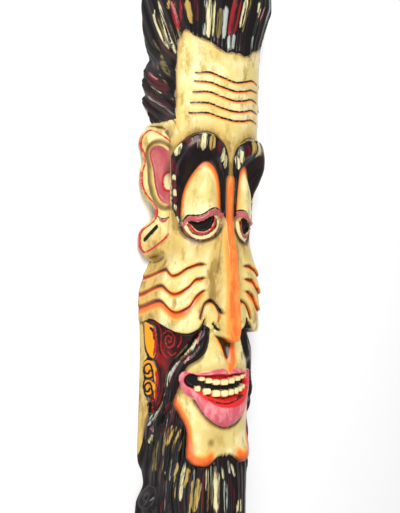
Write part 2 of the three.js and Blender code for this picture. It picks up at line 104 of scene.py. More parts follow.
# a sheet through columns of (girth, stops along the mask)
def sheet(columns, g, y):
    places = [column[0] for column in columns]
    levels = [runs(column[1], y) for column in columns]
    count = len(places)
    slopes = [np.zeros_like(y)]
    for i in range(1, count - 1):
        slopes.append((levels[i + 1] - levels[i - 1]) / (places[i + 1] - places[i - 1]))
    slopes.append(np.zeros_like(y))
    result = np.where(g <= places[0], levels[0], levels[-1])
    for i in range(count - 1):
        gap = places[i + 1] - places[i]
        share = np.clip((g - places[i]) / gap, 0, 1)
        value = cubic(share, levels[i], levels[i + 1], slopes[i] * gap, slopes[i + 1] * gap)
        result = np.where((g > places[i]) & (g <= places[i + 1]), value, result)
    return result


# smooth line through a few given points
def smoothLine(points, closed, steps=5):
    knots = [np.array(p, float) for p in points]
    count = len(knots)
    if closed:
        around = [knots[i % count] for i in range(-1, count + 2)]
    else:
        around = [2 * knots[0] - knots[1]] + knots + [2 * knots[-1] - knots[-2]]
    line = []
    for i in range(1, len(around) - 2):
        p0, p1, p2, p3 = around[i - 1:i + 3]
        for step in range(steps):
            t = step / steps
            line.append(0.5 * (2 * p1 + (p2 - p0) * t + (2 * p0 - 5 * p1 + 4 * p2 - p3) * t * t
                               + (3 * p1 - p0 - 3 * p2 + p3) * t ** 3))
    line.append(around[-2])
    return np.array(line)


# points of a spiral that winds in from its rim
def spiralLine(girth, y, size, turns):
    angles = np.linspace(0.6, 0.6 + turns * 2 * np.pi, int(turns * 9))
    radii = np.linspace(size, 1.2, len(angles))
    return [(girth + r * np.cos(a), y + r * np.sin(a)) for r, a in zip(radii, angles)]


# distance in mm from each place to a line; negative inside a closed one
def distanceTo(line, girth, y, closed=True, reach=30.0):
    near = np.full(girth.shape, reach)
    low, high = line.min(0) - reach, line.max(0) + reach
    pick = (girth > low[0]) & (girth < high[0]) & (y > low[1]) & (y < high[1])
    g, v = girth[pick], y[pick]
    best = np.full(g.shape, reach ** 2)
    inside = np.zeros(g.shape, bool)
    for (ax, ay), (bx, by) in zip(line[:-1], line[1:]):
        dx, dy = bx - ax, by - ay
        length = dx * dx + dy * dy
        if length == 0:
            continue
        share = np.clip(((g - ax) * dx + (v - ay) * dy) / length, 0, 1)
        best = np.minimum(best, (g - ax - share * dx) ** 2 + (v - ay - share * dy) ** 2)
        if dy != 0:
            inside ^= ((ay > v) != (by > v)) & (g < ax + (v - ay) / dy * dx)
    dist = np.sqrt(best)
    near[pick] = np.where(inside, -dist, dist) if closed else dist
    return near


def shape(points, girth, y, closed=True):
    return distanceTo(smoothLine(points, closed), girth, y, closed)


def union(fields):
    return np.minimum.reduce(fields)


# half width of the log along the mask
sideHalfWidth = [
    (500, 82), (480, 91), (440, 94), (400, 91), (350, 95), (293, 91), (266, 84), (250, 90), (240, 92.5),
    (228, 91), (221, 89), (212, 91.5), (203, 89), (190, 80), (178, 75), (165, 84), (90, 92), (10, 84),
    (-8, 71), (-30, 80), (-63, 88), (-118, 86), (-200, 83), (-282, 82), (-314, 75), (-340, 86), (-375, 88),
    (-402, 80), (-430, 87), (-470, 82), (-500, 66)]

# depth below the log's surface, by girth
skinColumns = [
    (0, [(290, 6), (230, 6.5), (170, 8), (130, 11), (60, 12), (20, 13), (-50, 15), (-100, 16), (-112, 15),
        (-130, 9), (-150, 4), (-200, 6), (-240, 10), (-265, 8), (-285, 8)]),
    (35, [(290, 6), (170, 8), (130, 13), (30, 14), (0, 13), (-50, 13), (-100, 11), (-130, 8), (-160, 5),
        (-200, 6), (-240, 8), (-265, 4), (-280, 3)]),
    (70, [(290, 3), (170, 4), (130, 12), (30, 12), (0, 10), (-50, 9), (-130, 9), (-165, 10), (-200, 9),
        (-240, 6), (-265, 3), (-280, 3)]),
    (100, [(290, 2), (170, 2), (0, 8), (-50, 8), (-130, 8), (-200, 4), (-280, 4)]),
    (130, [(290, 0), (10, 0), (-50, 2), (-130, 3), (-200, 1), (-280, 0)])]
hairColumns = [
    (0, [(500, 16), (487, 5), (450, -3), (400, -8), (350, -10), (320, -4), (300, 1), (280, 3)]),
    (84, [(500, 16), (487, 5), (450, -4), (400, -10), (350, -13), (335, -9), (310, -3), (290, 1), (165, 0)]),
    (130, [(500, 12), (487, 4), (450, 0), (350, -2), (290, 0), (165, 0)])]
beardColumns = [
    (0, [(-260, 10), (-285, 9), (-300, 8), (-350, 5), (-400, 2), (-450, 2), (-480, 8), (-500, 22)]),
    (40, [(-260, 10), (-285, 8), (-300, 7), (-350, 5), (-400, 3), (-450, 3), (-480, 9), (-500, 22)]),
    (84, [(-185, 5), (-200, 6), (-222, 8), (-250, 4), (-290, 4), (-305, 6), (-350, 6), (-400, 4), (-450, 4),
        (-480, 10), (-500, 22)]),
    (120, [(-200, 5), (-250, 3), (-400, 3), (-450, 4), (-480, 8), (-500, 18)])]
cheekColumns = [
    (22, [(20, 0), (-115, 0)]), (48, [(20, 0), (0, 0.15), (-20, 0.35), (-50, 0.6), (-95, 0.7), (-115, 0)]),
    (76, [(20, 0.05), (0, 0.3), (-20, 0.72), (-50, 1), (-95, 1), (-107, 0.8), (-118, 0)]),
    (100, [(20, 0), (0, 0.2), (-20, 0.5), (-50, 0.82), (-90, 0.78), (-105, 0.4), (-115, 0)]),
    (132, [(0, 0), (-50, 0.15), (-90, 0.1), (-100, 0)])]

# drawn on the unrolled log; the ear and its bowl as the photograph shows them
outlines = {
    "forehead": [
        (0, 274), (17, 273), (33, 279), (43, 285), (66, 292), (78, 300), (87, 290), (91, 270), (91, 200),
        (88, 160), (70, 120), (30, 100), (0, 100), (-30, 120), (-30, 250)],
    "brow": [
        (9, 103), (5, 110), (4.5, 120), (5, 130), (8, 140), (15, 150), (25, 156), (33, 160), (42, 162),
        (50, 162), (60, 160), (70, 155), (78, 149), (85, 143), (91, 135), (96, 122), (98, 105), (98, 85),
        (96, 70), (92, 58), (88, 50), (84, 42), (78, 30), (70, 33), (60, 60), (17, 56), (8.5, 50),
        (8.5, 60), (9.5, 80)],
    "lid": [
        (79, 34), (82, 45), (82.5, 60), (81, 75), (77.5, 88), (72, 99), (65, 109), (58, 117), (51, 123),
        (45, 125.5), (38, 125), (30, 120), (25, 113), (21, 105), (18.5, 95), (17, 85), (15, 58), (14, 45),
        (18, 34), (28, 25), (40, 21), (52, 20), (64, 22), (74, 27)],
    "eye": [
        (70, 43), (65, 44), (55, 43), (48, 44.5), (42, 47.5), (36, 50.5), (28, 52), (29, 45), (32, 38),
        (38, 33), (44, 31), (50, 31), (56, 32.5), (63, 38)],
    "cheekBottom": [
        (165, -92), (140, -92), (132, -89.5), (125, -89), (118, -90), (110, -93), (100, -97), (90, -101),
        (82, -104), (74, -105.5), (66, -106), (58, -104), (50, -99), (45, -93), (42, -86), (32, -80),
        (21, -70), (17, -40), (17, 20), (17, 60), (165, 60), (165, -60)],
    "panel": [
        (138, -88), (139, -105), (138.5, -118), (136.5, -131), (132.5, -141), (138, -147), (141.5, -156),
        (138, -168), (140.5, -180), (136, -191), (130, -200), (129, -210), (127, -218), (112, -210),
        (105, -203), (99, -192), (96, -182), (93, -160), (80, -140), (70, -132), (60, -122), (52, -112),
        (48, -104), (60, -96), (100, -88)],
    "moustache": [
        (33, -100), (33, -112), (38, -128), (50, -139), (65, -148), (73, -162), (77, -175), (83, -190),
        (90, -206), (101, -222), (113, -236), (124, -252), (130, -262), (134, -250), (132, -238),
        (130, -226), (124, -216), (118, -207), (113, -196.5), (109, -189), (107, -181), (106, -172),
        (103, -163), (98, -154), (93, -147.5), (87, -140), (76, -130), (65.5, -119.5), (56, -111),
        (48, -102), (43, -94), (38, -96)],
    "mouth": [
        (0, -160.5), (20, -158.5), (35, -159.5), (50, -159.5), (61, -158.5), (67, -162), (69.5, -168),
        (65, -174), (58, -177), (48, -180), (38, -187), (25, -191.5), (10, -194), (0, -194.5), (-25, -180)],
    "lips": [
        (3, -156.5), (7, -153), (12, -151.5), (28, -153.5), (35, -156), (55, -157.5), (65, -156),
        (72, -157), (75, -160.5), (76.5, -166), (75, -172), (73.5, -177), (70, -183), (62, -188),
        (52, -193), (47, -200), (42, -208), (35, -215), (27, -221), (18, -226), (8, -229), (0, -230),
        (-30, -200)],
    "chin": [
        (35, -104), (33, -112), (38, -128), (50, -139), (65, -148), (74, -160), (80, -172), (86, -180),
        (87.5, -187), (84, -200), (79, -208), (72, -218), (66, -228), (63, -240), (64, -266), (60, -273),
        (54, -278), (45, -280.5), (36, -281), (28, -279), (21, -274), (14, -270.5), (7, -268.5), (0, -268),
        (-30, -230), (-30, -130), (0, -106)],
    "ear": [
        (40, 146), (50, 165), (60, 168), (70, 169.5), (80, 171), (88, 171.5), (95, 168), (101, 162),
        (104.5, 152), (103.5, 143), (100, 138), (97, 132), (96.5, 127), (98, 120), (101, 112), (102, 105),
        (101, 95), (98, 85), (93, 77), (86, 70.5), (79.5, 66), (75, 60.5), (74, 55.5), (76, 50), (80, 46),
        (86, 41.5), (93, 37), (99, 32), (102, 26), (102.5, 18), (101.5, 9), (98.5, 3), (94, 0), (84, -4),
        (60, 10), (40, 30)],
    "concha": [
        (45, 129), (50, 135), (60, 142.5), (70, 146.5), (78, 146.5), (84, 143), (87, 137), (87, 131),
        (84, 123), (81, 115), (79, 105), (77, 95), (74, 85), (70, 76), (64, 70), (58, 68), (46, 72)],
}
strokes = {
    "margin": [(77, 39), (72, 44), (68, 47), (55, 47.3), (48, 48.7), (42, 52), (36, 55.7),
               (28, 57.2), (20, 55.5), (13, 52.5)],
    "wing": [(48, -84), (46, -77), (42, -66), (37, -62.5), (31, -61), (25, -64), (20.5, -70), (16, -77)],
    "nostril": [(27, -92), (18, -99.5)],
    "earGroove": [
        (45, 139), (55, 147), (62, 150.5), (70, 152), (78, 151), (84, 148), (89, 143), (91, 137),
        (91, 130), (88, 122), (86, 103), (85, 95), (82, 86), (79, 78), (74, 70), (67, 64), (60, 61.5),
        (53, 62), (48, 65)],
    "lobeSlot": [(90, 18.5), (80, 27.5), (70, 36.5)],
}

# scrolls beside the moustache: an ochre leaf, two ochre discs with tails, and a red spiral
scrollLeaf = [
    (136.5, -92), (129, -94.5), (122.5, -99), (120, -106), (119.5, -116), (120, -126), (121, -136),
    (126, -143), (131, -139), (134.5, -131), (137, -118), (137.5, -105)]
leafComma = [(129.5, -100), (125.5, -104), (123.5, -110), (123.5, -117)]
scrollDiscs = [(132, -156, 12.6), (132, -181, 11.2)]
discCurl = [
    (-0.5, -0.95), (-0.42, -0.1), (-0.14, 0.55), (0.4, 0.2), (0.34, -0.4), (-0.02, -0.52), (-0.16, -0.16)]
discTails = [
    [(129, -143.5), (123.5, -147), (119.5, -156), (117.5, -168), (118.5, -181), (121.5, -187), (124, -176),
     (126, -162)],
    [(130, -170), (124.5, -174), (121, -182), (119.5, -192), (121.5, -202), (124.5, -196), (126, -186)]]
redScroll = (98, -116, 14, 1.9)   # middle, radius and turns


# the discs and the tails that run down from them
def scrollEnds(g, y):
    discs = [np.hypot((g - a) * 1.5, y - b) - size for a, b, size in scrollDiscs]
    return discs + [shape(tail, g, y) for tail in discTails]


# the line that curls in on a disc
def curlOf(disc):
    girth, y, size = disc
    return [(girth + a * size, y + b * size) for a, b in discCurl]


cheekFolds = [
    [(149, -32), (104, -20), (86, -28), (66, -17), (50, -12), (40, -12)],
    [(149, -55), (106, -42), (83, -52), (66, -43), (55, -32), (36, -30)],
    [(149, -72), (106, -62), (81, -76), (66, -70), (55, -55), (45, -48), (33, -46)]]
foreheadLines = [
    [(0, 235), (22, 239), (45, 244), (65, 242)], [(0, 223), (22, 226), (45, 231), (66, 231)],
    [(0, 210), (22, 213), (45, 218), (68, 216)], [(0, 195.5), (22, 198), (45, 203), (71, 202)],
    [(0, 183), (22, 185), (45, 189.5), (72, 188)]]
upperTeeth = [
    (-43, -165, 4.8, 2.8), (-32.4, -167.5, 5.6, 3.4), (-21, -169.5, 6, 3.8), (-7, -170, 7, 4.2),
    (6.5, -168.5, 6, 4.2), (20, -166, 6, 3.6), (32, -164.5, 5.4, 3.2), (44, -163, 4.6, 2.8)]
lowerTeeth = [
    (-48.8, -177.5, 5, 3.2), (-35, -181.5, 6.6, 4.2), (-20.3, -184.5, 6.9, 4.8), (-5.8, -185, 6.4, 4.8),
    (7, -184, 5.4, 4.4), (18, -183, 4.9, 4.4), (28.5, -181, 4.7, 4), (39, -178.5, 4.4, 3.4)]
curlCentre = (128, -330)   # of the curl at each side of the beard
# upper edge of the beard, from the chin outwards
beardTop = [(0, -206), (100, -206), (112, -208), (122, -215), (134, -238), (140, -260), (149, -275)]
# how far the ear reaches as the photograph shows it, from top to lobe
earReach = [
    (184, 79), (172, 87), (162, 99.5), (152, 103), (138, 98.5), (127, 95), (112, 99.5), (100, 100),
    (85, 96), (77, 91), (66, 77), (56, 71), (46, 77), (37, 90), (26, 99), (9, 98.5), (0, 91), (-12, 82)]


def lockShape(across, pitch):
    phase = across / pitch
    return 1 - np.abs(np.sin(phase * np.pi)) ** 0.8


# rounded locks of uneven width with finer strands on them
def hairStrands(across):
    c = carving
    uneven = across + 3.2 * np.sin(across / 13.7) + 1.7 * np.sin(across / 5.9 + 1)
    return c["lockDepth"] * lockShape(uneven, 21.0) + c["strandDepth"] * lockShape(uneven + 2, 7.0)


# how far the hair leans outwards for each mm up
def hairLean(g):
    return 0.36 * ease(60, 118, g)


# place across the locks: on top of the head, at its side and on the beard
def topAcross(s, y):
    g = np.abs(s)
    lean = hairLean(g) * (y - 290)
    sway = 5 * (np.sin((y - 330) / 38) + 0.9) * ease(350, 420, y)
    return np.sign(s) * (g + sway - lean)


def sideAcross(s, y):
    return y * 0.8 - np.abs(s) * 0.6 + 3 * np.sin(np.abs(s) / 9)


def beardAcross(s, y):
    g = np.abs(s)
    fan = 1 + 0.0016 * np.clip(-255 - y, -60, 100)
    sway = 4.5 * np.sin((y + 285) / 17) * ease(-250, -300, y) * ease(25, 80, g)
    return np.sign(s) * (g / fan + sway)


# 1 where the locks stand up from the head, 0 beside it
def standing(s, y):
    return ease(262, 284, y - 0.25 * (np.abs(s) - 100))


def hairDepth(s, y):
    strands = blend(hairStrands(sideAcross(s, y)), hairStrands(topAcross(s, y)), standing(s, y))
    return sheet(hairColumns, np.abs(s), y) + strands


def beardDepth(s, y):
    c = carving
    g = np.abs(s)
    aside, above = g - curlCentre[0], y - curlCentre[1]
    fromCurl = np.hypot(aside, above)
    spiral = fromCurl - 2.2 * np.arctan2(above, aside)
    curl = ease(19, 9, fromCurl)
    rings = 3.4 * np.abs(np.sin(spiral / 7.0 * np.pi / 2))
    strands = hairStrands(beardAcross(s, y)) * ease(14, 22, fromCurl)
    return sheet(beardColumns, g, y) + strands - c["curlRise"] * curl + rings * ease(17, 14, fromCurl)


def browDepth(g, y, outer, lid):
    c = carving
    arch = runs([(8, 0.03), (25, 0.4), (40, 0.65), (60, 0.85), (75, 0.95), (92, 0.9)], g)
    crest = 10 - c["browRise"] * arch
    crest = crest + runs([(66, 0), (46, 4), (36, 9), (26, 13)], y) * ease(30, 60, g)
    crest = crest + runs([(128, 0), (105, 6), (88, 13), (66, 15), (46, 12), (26, 8)], y) * ease(58, 86, g)
    gone = np.maximum(0, -outer) / (np.maximum(0, -outer) + np.maximum(0.01, lid))
    dome = 2.0 * ease(0.3, 0, gone)
    return blend(crest + dome, c["lidSink"], ease(0.3, 1.05, gone) ** 1.3)


def lidDepth(y, lid, margin, eye):
    c = carving
    swell = c["lidSwell"] * ease(0, 24, -lid) * runs([(126, 0.5), (80, 1), (40, 1), (20, 0.6)], y)
    rim = c["marginRise"] * hump(margin, 0, 4.2)
    lower = 1.8 * hump(eye, 6.5, 3.5) * ease(48, 38, y)
    return c["lidSink"] - swell - rim - lower + c["eyeRecess"] * ease(0.8, -2.4, eye)


# lower edge of the nose
noseFoot = [(0, -117), (3, -116.5), (9, -112), (19, -107.5), (27, -104)]


def noseDepth(g, y, skin):
    top = runs([(125, 11), (106, 11), (60, 11), (20, 5), (0, 0), (-50, -4), (-100, -8), (-110, -8)], y)
    flat = runs([(106, 7), (60, 6), (0, 6.5), (-60, 8), (-100, 9), (-108, 7.5), (-117, 4)], y)
    base = runs([(125, 9), (100, 10), (60, 11), (20, 14), (-20, 20), (-50, 27), (-75, 26), (-110, 24)], y)
    side = np.clip((g - flat) / (base - flat), 0, 1)
    ridge = blend(top, skin, ease(0, 1, side) * 0.6 + side * 0.4)
    bottom = runs(noseFoot, g)
    over = ease(-1.8, 1.8, y - bottom) * ease(124, 108, y)
    return blend(skin, ridge, over)


def foldDepth(g, y):
    depth = np.zeros_like(y)
    for fold in cheekFolds:
        below = runs(fold, g) - y
        hollow = ease(-1.5, 1.5, below) * np.exp(-np.maximum(0, below) / 9)
        lip = 0.4 * ease(-10, -1.5, below) * (1 - ease(-1.5, 1.5, below))
        reach = ease(30, 48, g) * (1 - 0.75 * ease(106, 130, g))
        depth = depth + reach * carving["foldStep"] * (hollow - lip)
    return depth


# 1 on the edge of a tooth, less inside it
def toothPlace(tooth, s, y):
    at, level, halfWidth, halfHeight = tooth
    return (np.abs(s - at) / halfWidth) ** 4 + (np.abs(y - level) / halfHeight) ** 4


def mouthDepth(s, y, mouth):
    c = carving
    teeth = np.zeros_like(y)
    for tooth in upperTeeth + lowerTeeth:
        teeth = np.maximum(teeth, ease(1.9, 0.5, toothPlace(tooth, s, y)))
    return (c["mouthRecess"] - c["toothRise"] * teeth) * ease(0.6, -2.6, mouth)


# 1 on the edge of the nose's wing, less inside it
def wingPlace(g, y):
    return np.hypot((g - 33) / 15.5, (y + 82) / 20)


def scrollDepth(g, y):
    c = carving
    raised = [shape(scrollLeaf, g, y)] + scrollEnds(g, y)
    raised += [shape(spiralLine(*redScroll), g, y, closed=False) - 1.6]
    cut = [shape(line, g, y, closed=False) for line in [curlOf(disc) for disc in scrollDiscs] + [leafComma]]
    scrolls = ease(0.8, -1.4, union(raised)) - 0.7 * ease(1.9, 0.5, union(cut))
    rising = runs([(96, 0), (112, 0.14), (124, 0.5), (133, 0.82), (140, 0.95)], g)
    return c["panelSink"] * (1 - rising) + 2 - c["scrollRise"] * scrolls


def faceDepth(s, y):
    c = carving
    g = np.abs(s)
    drawn = [name for name in outlines if name not in ("ear", "concha")]
    fields = {name: shape(outlines[name], g, y) for name in drawn}
    for name in ("margin", "wing", "nostril"):
        fields[name] = shape(strokes[name], g, y, closed=False)
    skin = sheet(skinColumns, g, y)
    grooves = np.zeros_like(y)
    for line in foreheadLines:
        ends = ease(line[-1][0] + 6, line[-1][0] - 2, g)
        grooves = grooves + 1.1 * hump(y - runs(line, g), 0, 1.8) * ends
    d = skin + grooves

    forehead = fields["forehead"]
    d = blend(d, hairDepth(s, y), ease(150, 172, y) * ease(-1.6, 1.6, forehead))

    cheek = fields["cheekBottom"]
    onCheek = ease(35, 12, y) * ease(1.6, -1.6, cheek)
    swelling = c["cheekSwell"] * sheet(cheekColumns, g, y)
    d = d + (foldDepth(g, y) - swelling) * onCheek

    panel = fields["panel"]
    d = blend(d, scrollDepth(g, y), ease(1.6, -1.6, panel) * ease(-1.6, 1.6, cheek))

    chin = fields["chin"]
    besideChin = ease(-172, -190, y) * ease(104, 90, g)
    beard = ease(-1.8, 1.8, chin) * np.maximum(besideChin, ease(0, -24, y - runs(beardTop, g)))
    beard = beard * ease(-1.5, 1.5, panel)
    d = blend(d, beardDepth(s, y), beard)
    d = d - 3.0 * hump(g, 44, 17) * hump(y, -270, 11) * ease(1.5, -1.5, chin)

    moustache = fields["moustache"]
    furrow = 0.9 * np.abs(np.sin(moustache / 4.2 * np.pi / 2))
    d = d - (c["moustacheRise"] * ease(1.5, -5, moustache) - furrow * ease(0, -2, moustache))

    brow, lid = fields["brow"], fields["lid"]
    d = blend(d, browDepth(g, y, np.minimum(brow, lid), lid), ease(1.6, -1.6, np.minimum(brow, lid)))
    d = blend(d, lidDepth(y, lid, fields["margin"], fields["eye"]), ease(1.3, -1.3, lid))

    d = noseDepth(g, y, d)
    wing = wingPlace(g, y)
    d = blend(d, np.minimum(d, 4.5 + 3 * wing ** 2), ease(1.12, 0.8, wing))
    d = d + 3.2 * hump(fields["wing"], 0, 2.6)
    d = d + 4 * ease(4.2, 1.2, fields["nostril"])
    d = d + 5 * hump(g, 0, 6.5) * ease(-117, -124, y) * ease(-154, -143, y)

    mouth = fields["mouth"]
    lips = fields["lips"]
    rise = c["lipRise"] * ease(1.2, -5, lips)
    d = d - rise - 3.5 * hump(g, 0, 34) * hump(y, -214, 13)
    d = d + mouthDepth(s, y, mouth)
    return d, fields


earRoot = (66.0, 40.0)    # where the ear leaves the head: across and up, mm
earSlope = 0.875
seenFrom = 0.781          # mm across for each mm of height, from where the photograph was taken
drawingHeight = 18.0      # height at which the ear was drawn, mm
rootHalfWidth = 64.0
earStart = 92.0           # girth from which a row bends out into the ear, mm
rimShare = 0.72           # share of such a row that the front of the ear takes


# height of the ear's front, and the way between places across it and places in the photograph
def earFront(x):
    return earRoot[1] - (x - earRoot[0]) * earSlope


def seenAt(x):
    return x - (earFront(x) - drawingHeight) * seenFrom


def reachAt(seen):
    return earRoot[0] + (seen - seenAt(earRoot[0])) / (1 + earSlope * seenFrom)


# 1 on the edge of the bump in front of the ear's bowl, less inside it
def bumpPlace(seen, y):
    return np.hypot((seen - 51) / 8.5, (y - 98) / 13)


# share of the way from the ear's start to the foot, the ear's reach there and the place across its front
def alongEar(g, y):
    share = (g - earStart) / (quarterGirth - earStart)
    rim = reachAt(runs(earReach, y))
    return share, rim, blend(earRoot[0], rim, np.clip(share / rimShare, 0, 1))


def earCarving(seen, y):
    outside = 8 * ease(-1, 2, shape(outlines["ear"], seen, y))
    concha = shape(outlines["concha"], seen, y)
    groove = 2.5 * hump(shape(strokes["earGroove"], seen, y, closed=False), 0, 2.6)
    bowl = 7 * ease(1, -8, concha)
    bump = 6 * ease(1.1, 0.6, bumpPlace(seen, y))
    slot = 3.5 * ease(4, 2, shape(strokes["lobeSlot"], seen, y, closed=False))
    return outside + bowl + groove - bump + slot


# 1 where the ear stands out from the head, 0 above and below it
def earRows(g, y):
    share = np.clip((g - earStart) / (quarterGirth - earStart), 0, 1)
    low = runs([(0, 27), (0.2, 15), (0.45, 4), (rimShare, -3), (1, -5)], share)
    high = runs([(0, 156), (0.15, 164), (0.35, 171), (rimShare, 174), (1, 174)], share)
    return ease(low - 9, low + 1, y) * ease(high + 9, high - 1, y)


# every point of the outer surface in mm: the log less its depth, and the ears built out from it
def surface(s, y):
    g = np.abs(s)
    angle = g / drawnRadius
    depth, fields = faceDepth(s, y)
    halfWidth = blend(carving["logHalfWidth"], runs(sideHalfWidth, y), ease(82, 128, g))
    x = (halfWidth - depth) * np.sin(angle)
    z = (carving["logDepth"] - depth) * np.cos(angle)
    rows = earRows(g, y)
    pick = (g > earStart) & (rows > 0)
    share, rim, fx = alongEar(g[pick], y[pick])
    carve = earCarving(seenAt(fx), y[pick]) * ease(0, 0.12, share)
    fz = earFront(fx) - carve
    bx, bz = rim - 1, np.maximum(3, fz - carving["earThickness"])
    toBack = np.clip((share - rimShare) / 0.13, 0, 1)
    toFoot = np.clip((share - 0.85) / 0.09, 0, 1)
    toBottom = np.clip((share - 0.94) / 0.06, 0, 1)
    ex = blend(blend(blend(fx, bx, toBack), rootHalfWidth + 1, toFoot), rootHalfWidth, toBottom)
    ez = blend(blend(blend(fz, bz, toBack), 5, toFoot), 0, toBottom)
    x[pick] = blend(x[pick], ex, rows[pick])
    z[pick] = blend(z[pick], ez, rows[pick])
    return np.stack([x * np.sign(s + 1e-9), y, np.maximum(0, z)], -1), fields


# brush strokes on the hair: width in mm, then points of girth and place
brushStrokes = {
    "cream": [
        (3.5, [(-124, 328), (-124, 313), (-115, 293), (-105.5, 276)]), (4.5, [(-30, -284), (-31, -312)]),
        (5.5, [(-117, 339), (-111, 310), (-105, 292), (-93.5, 269.5)]), (7.5, [(-48.4, 336), (-47, 291)]),
        (3.5, [(-41.5, 337), (-40.5, 293)]), (5, [(3.4, 345), (1.9, 310)]), (3.5, [(27.5, 347), (29, 333)]),
        (2.8, [(34, 341), (31, 328)]), (2.2, [(-133, 227), (-113, 215)]), (2.2, [(-99, 208), (-94, 205)]),
        (3, [(-121, -243), (-127, -256)]), (3.4, [(-51, -112), (-61, -126), (-70, -136)]),
        (6, [(-15.5, -284), (-15, -343)]), (4, [(-3, -284), (0, -300)]), (3.5, [(17.8, -281), (26, -300)]),
        (3, [(31.3, -333), (28.4, -349)]), (3, [(40, -333), (39, -350)]), (3, [(46, -335), (45.6, -352)]),
        (4.6, [(-63.8, -277.5), (-68, -298), (-70, -326)]), (2.6, [(-74, -279), (-78, -300), (-80, -322)]),
        (2.2, [(-10, -290), (-9.5, -330)]), (2, [(-20.5, -290), (-20.5, -334)])],
    "gold": [
        (4, [(-101.2, 337), (-100.9, 327)]), (7, [(-76.8, 335), (-73.6, 320), (-70, 308)]),
        (2, [(10.5, 347), (6.4, 304)]), (4.2, [(-106, 175.4), (-92.5, 169.4)]),
        (4, [(-79, -230), (-86.5, -242.5), (-91, -254)]), (3, [(-72, -233), (-79, -248), (-84, -264)]),
        (3.6, [(-85, -228.5), (-93, -244), (-97, -257), (-98.7, -268)]),
        (3.6, [(-75, -277), (-77, -292), (-78.7, -313.5), (-79.4, -326.6)]),
        (3.2, [(-60, -282.6), (-64, -308)]), (3, [(-57.4, -284.6), (-61, -302)]),
        (8, [(-44, -299), (-43.5, -309), (-49, -340)]), (4, [(-53, -300), (-54, -334)]),
        (2, [(50, -290), (50, -300)]), (3, [(-56, -331), (-57, -348)])],
    "olive": [
        (2.2, [(-101, 308), (-95, 290), (-86, 274)]), (6.5, [(-33.6, 326), (-32.9, 291)]),
        (2, [(-124, 277), (-111, 250)]), (2, [(-123, 268), (-107, 247)]),
        (2, [(-128, 262), (-116, 240), (-104, 228)]), (2.4, [(-119, 322), (-113, 300), (-104, 282)]),
        (2.4, [(-92, 322), (-90, 300), (-84, 284)]), (2, [(-130, 290), (-120, 268), (-108, 254)]),
        (2, [(-121, 260), (-114, 251), (-100, 237)]), (2, [(-112, 259), (-107, 252.7), (-99, 240.5)]),
        (2.2, [(-121, -266), (-121.7, -294)]), (2.5, [(-109, -250), (-113, -269), (-115, -291)]),
        (1.8, [(-117, -258), (-118.5, -290)]), (1.8, [(-90, -240), (-97, -256)]),
        (2, [(-66, -240), (-74, -262)]), (2.4, [(-28, -300), (-29, -340)]),
        (2.2, [(-96, -262), (-98, -290)]), (2, [(-112, -300), (-110, -318)]),
        (2, [(-60, -126), (-74, -140), (-84, -154), (-89, -170)]),
        (2, [(-98, -196), (-108, -214), (-120, -230)]), (2.6, [(-65, -120), (-75, -130), (-85, -141)]),
        (5.4, [(-98, -154), (-102, -166), (-105, -179)])],
    "greyWhite": [
        (4, [(-53, 336), (-53, 328)]), (4, [(-53, 306), (-52.8, 292.5)]), (7, [(-25.9, 330), (-24.8, 291)]),
        (4, [(-15.4, 296), (-15.3, 278)]), (4, [(-7.8, 298), (-8.4, 279)]), (4, [(31, 303), (31, 286)]),
        (2.2, [(-137, 214), (-118, 203), (-101, 190), (-91, 184)]),
        (2.4, [(-106, -209), (-114, -219), (-126, -231)]), (1.6, [(-88, -208), (-95, -226), (-98, -250)]),
        (1.6, [(-50, -285), (-51, -330)]), (1.6, [(-93, -290), (-94, -345)]),
        (1.6, [(-84, -270), (-86, -300)]), (1.4, [(-24, -276), (-24, -330)]),
        (1.6, [(-64, -108), (-56, -122), (-60, -130)]), (1.4, [(-104, -196), (-112, -210), (-126, -226)]),
        (4.5, [(1.7, -303), (2.8, -320), (2.6, -344)]), (4, [(8.2, -276), (11.5, -294)]),
        (3, [(-18, -275), (-18, -280)]), (3.4, [(-75, -142), (-83, -152), (-89, -162), (-94, -178)]),
        (4.6, [(-82, -151), (-89, -162), (-92, -170)]), (1.6, [(-47, -120), (-58, -135), (-70, -143)])],
    "red": [
        (7, [(-95, 337), (-93.3, 320), (-88, 301)]), (3.5, [(-83.6, 335), (-86, 310)]),
        (6.2, [(-14.2, 341), (-16, 297.5)]), (4, [(-4.8, 343), (-8.1, 299)]),
        (3.2, [(-119.5, 193.5), (-110, 187.4), (-97, 181)]), (4, [(-98.3, -232), (-101.5, -243)])],
    "maroon": [
        (5.5, [(-66, 335), (-63.5, 311)]), (5.5, [(-125, 291), (-109, 273), (-96, 262)]),
        (6.5, [(-137.9, 247), (-118.7, 231), (-101, 220)]), (3.2, [(-137.6, 208), (-119.5, 193.5)]),
        (3, [(-138, 236), (-119, 223), (-102, 212)]), (3, [(-140, 222), (-122, 207), (-100, 194)]),
        (3.5, [(-111, -284), (-112, -300)]), (3.2, [(-104, -288), (-106, -301)]),
        (3.4, [(15, -304), (16, -319)]), (4, [(38.8, -295.7), (40.8, -330)]),
        (3, [(-52, -104), (-50, -122), (-60, -138)]),
        (2.6, [(-60, -128), (-72, -140), (-84, -160), (-88, -178)]), (4, [(-87, -196), (-97, -213)]),
        (3, [(-80, -196), (-90, -222), (-93, -250)]), (3, [(-104, -256), (-106, -280)]),
        (3, [(-58, -286), (-57, -330)]), (3, [(-36, -290), (-37, -345)]), (3, [(-97, -300), (-98, -345)]),
        (2.6, [(9, -300), (10, -345)]), (2.6, [(24, -310), (23, -345)])],
    "pink": [
        (2.4, [(45, 346), (39, 320)]), (2, [(-45, -101), (-52, -118)]), (2.2, [(-60, -132), (-69, -145)]),
        (2.6, [(-97, -182), (-104, -191)]), (1.6, [(-136, 246), (-126, 239), (-118, 235)]),
        (3.4, [(-118, -233.5), (-121, -240)]), (2, [(-94, 335), (-92, 325)])],
}
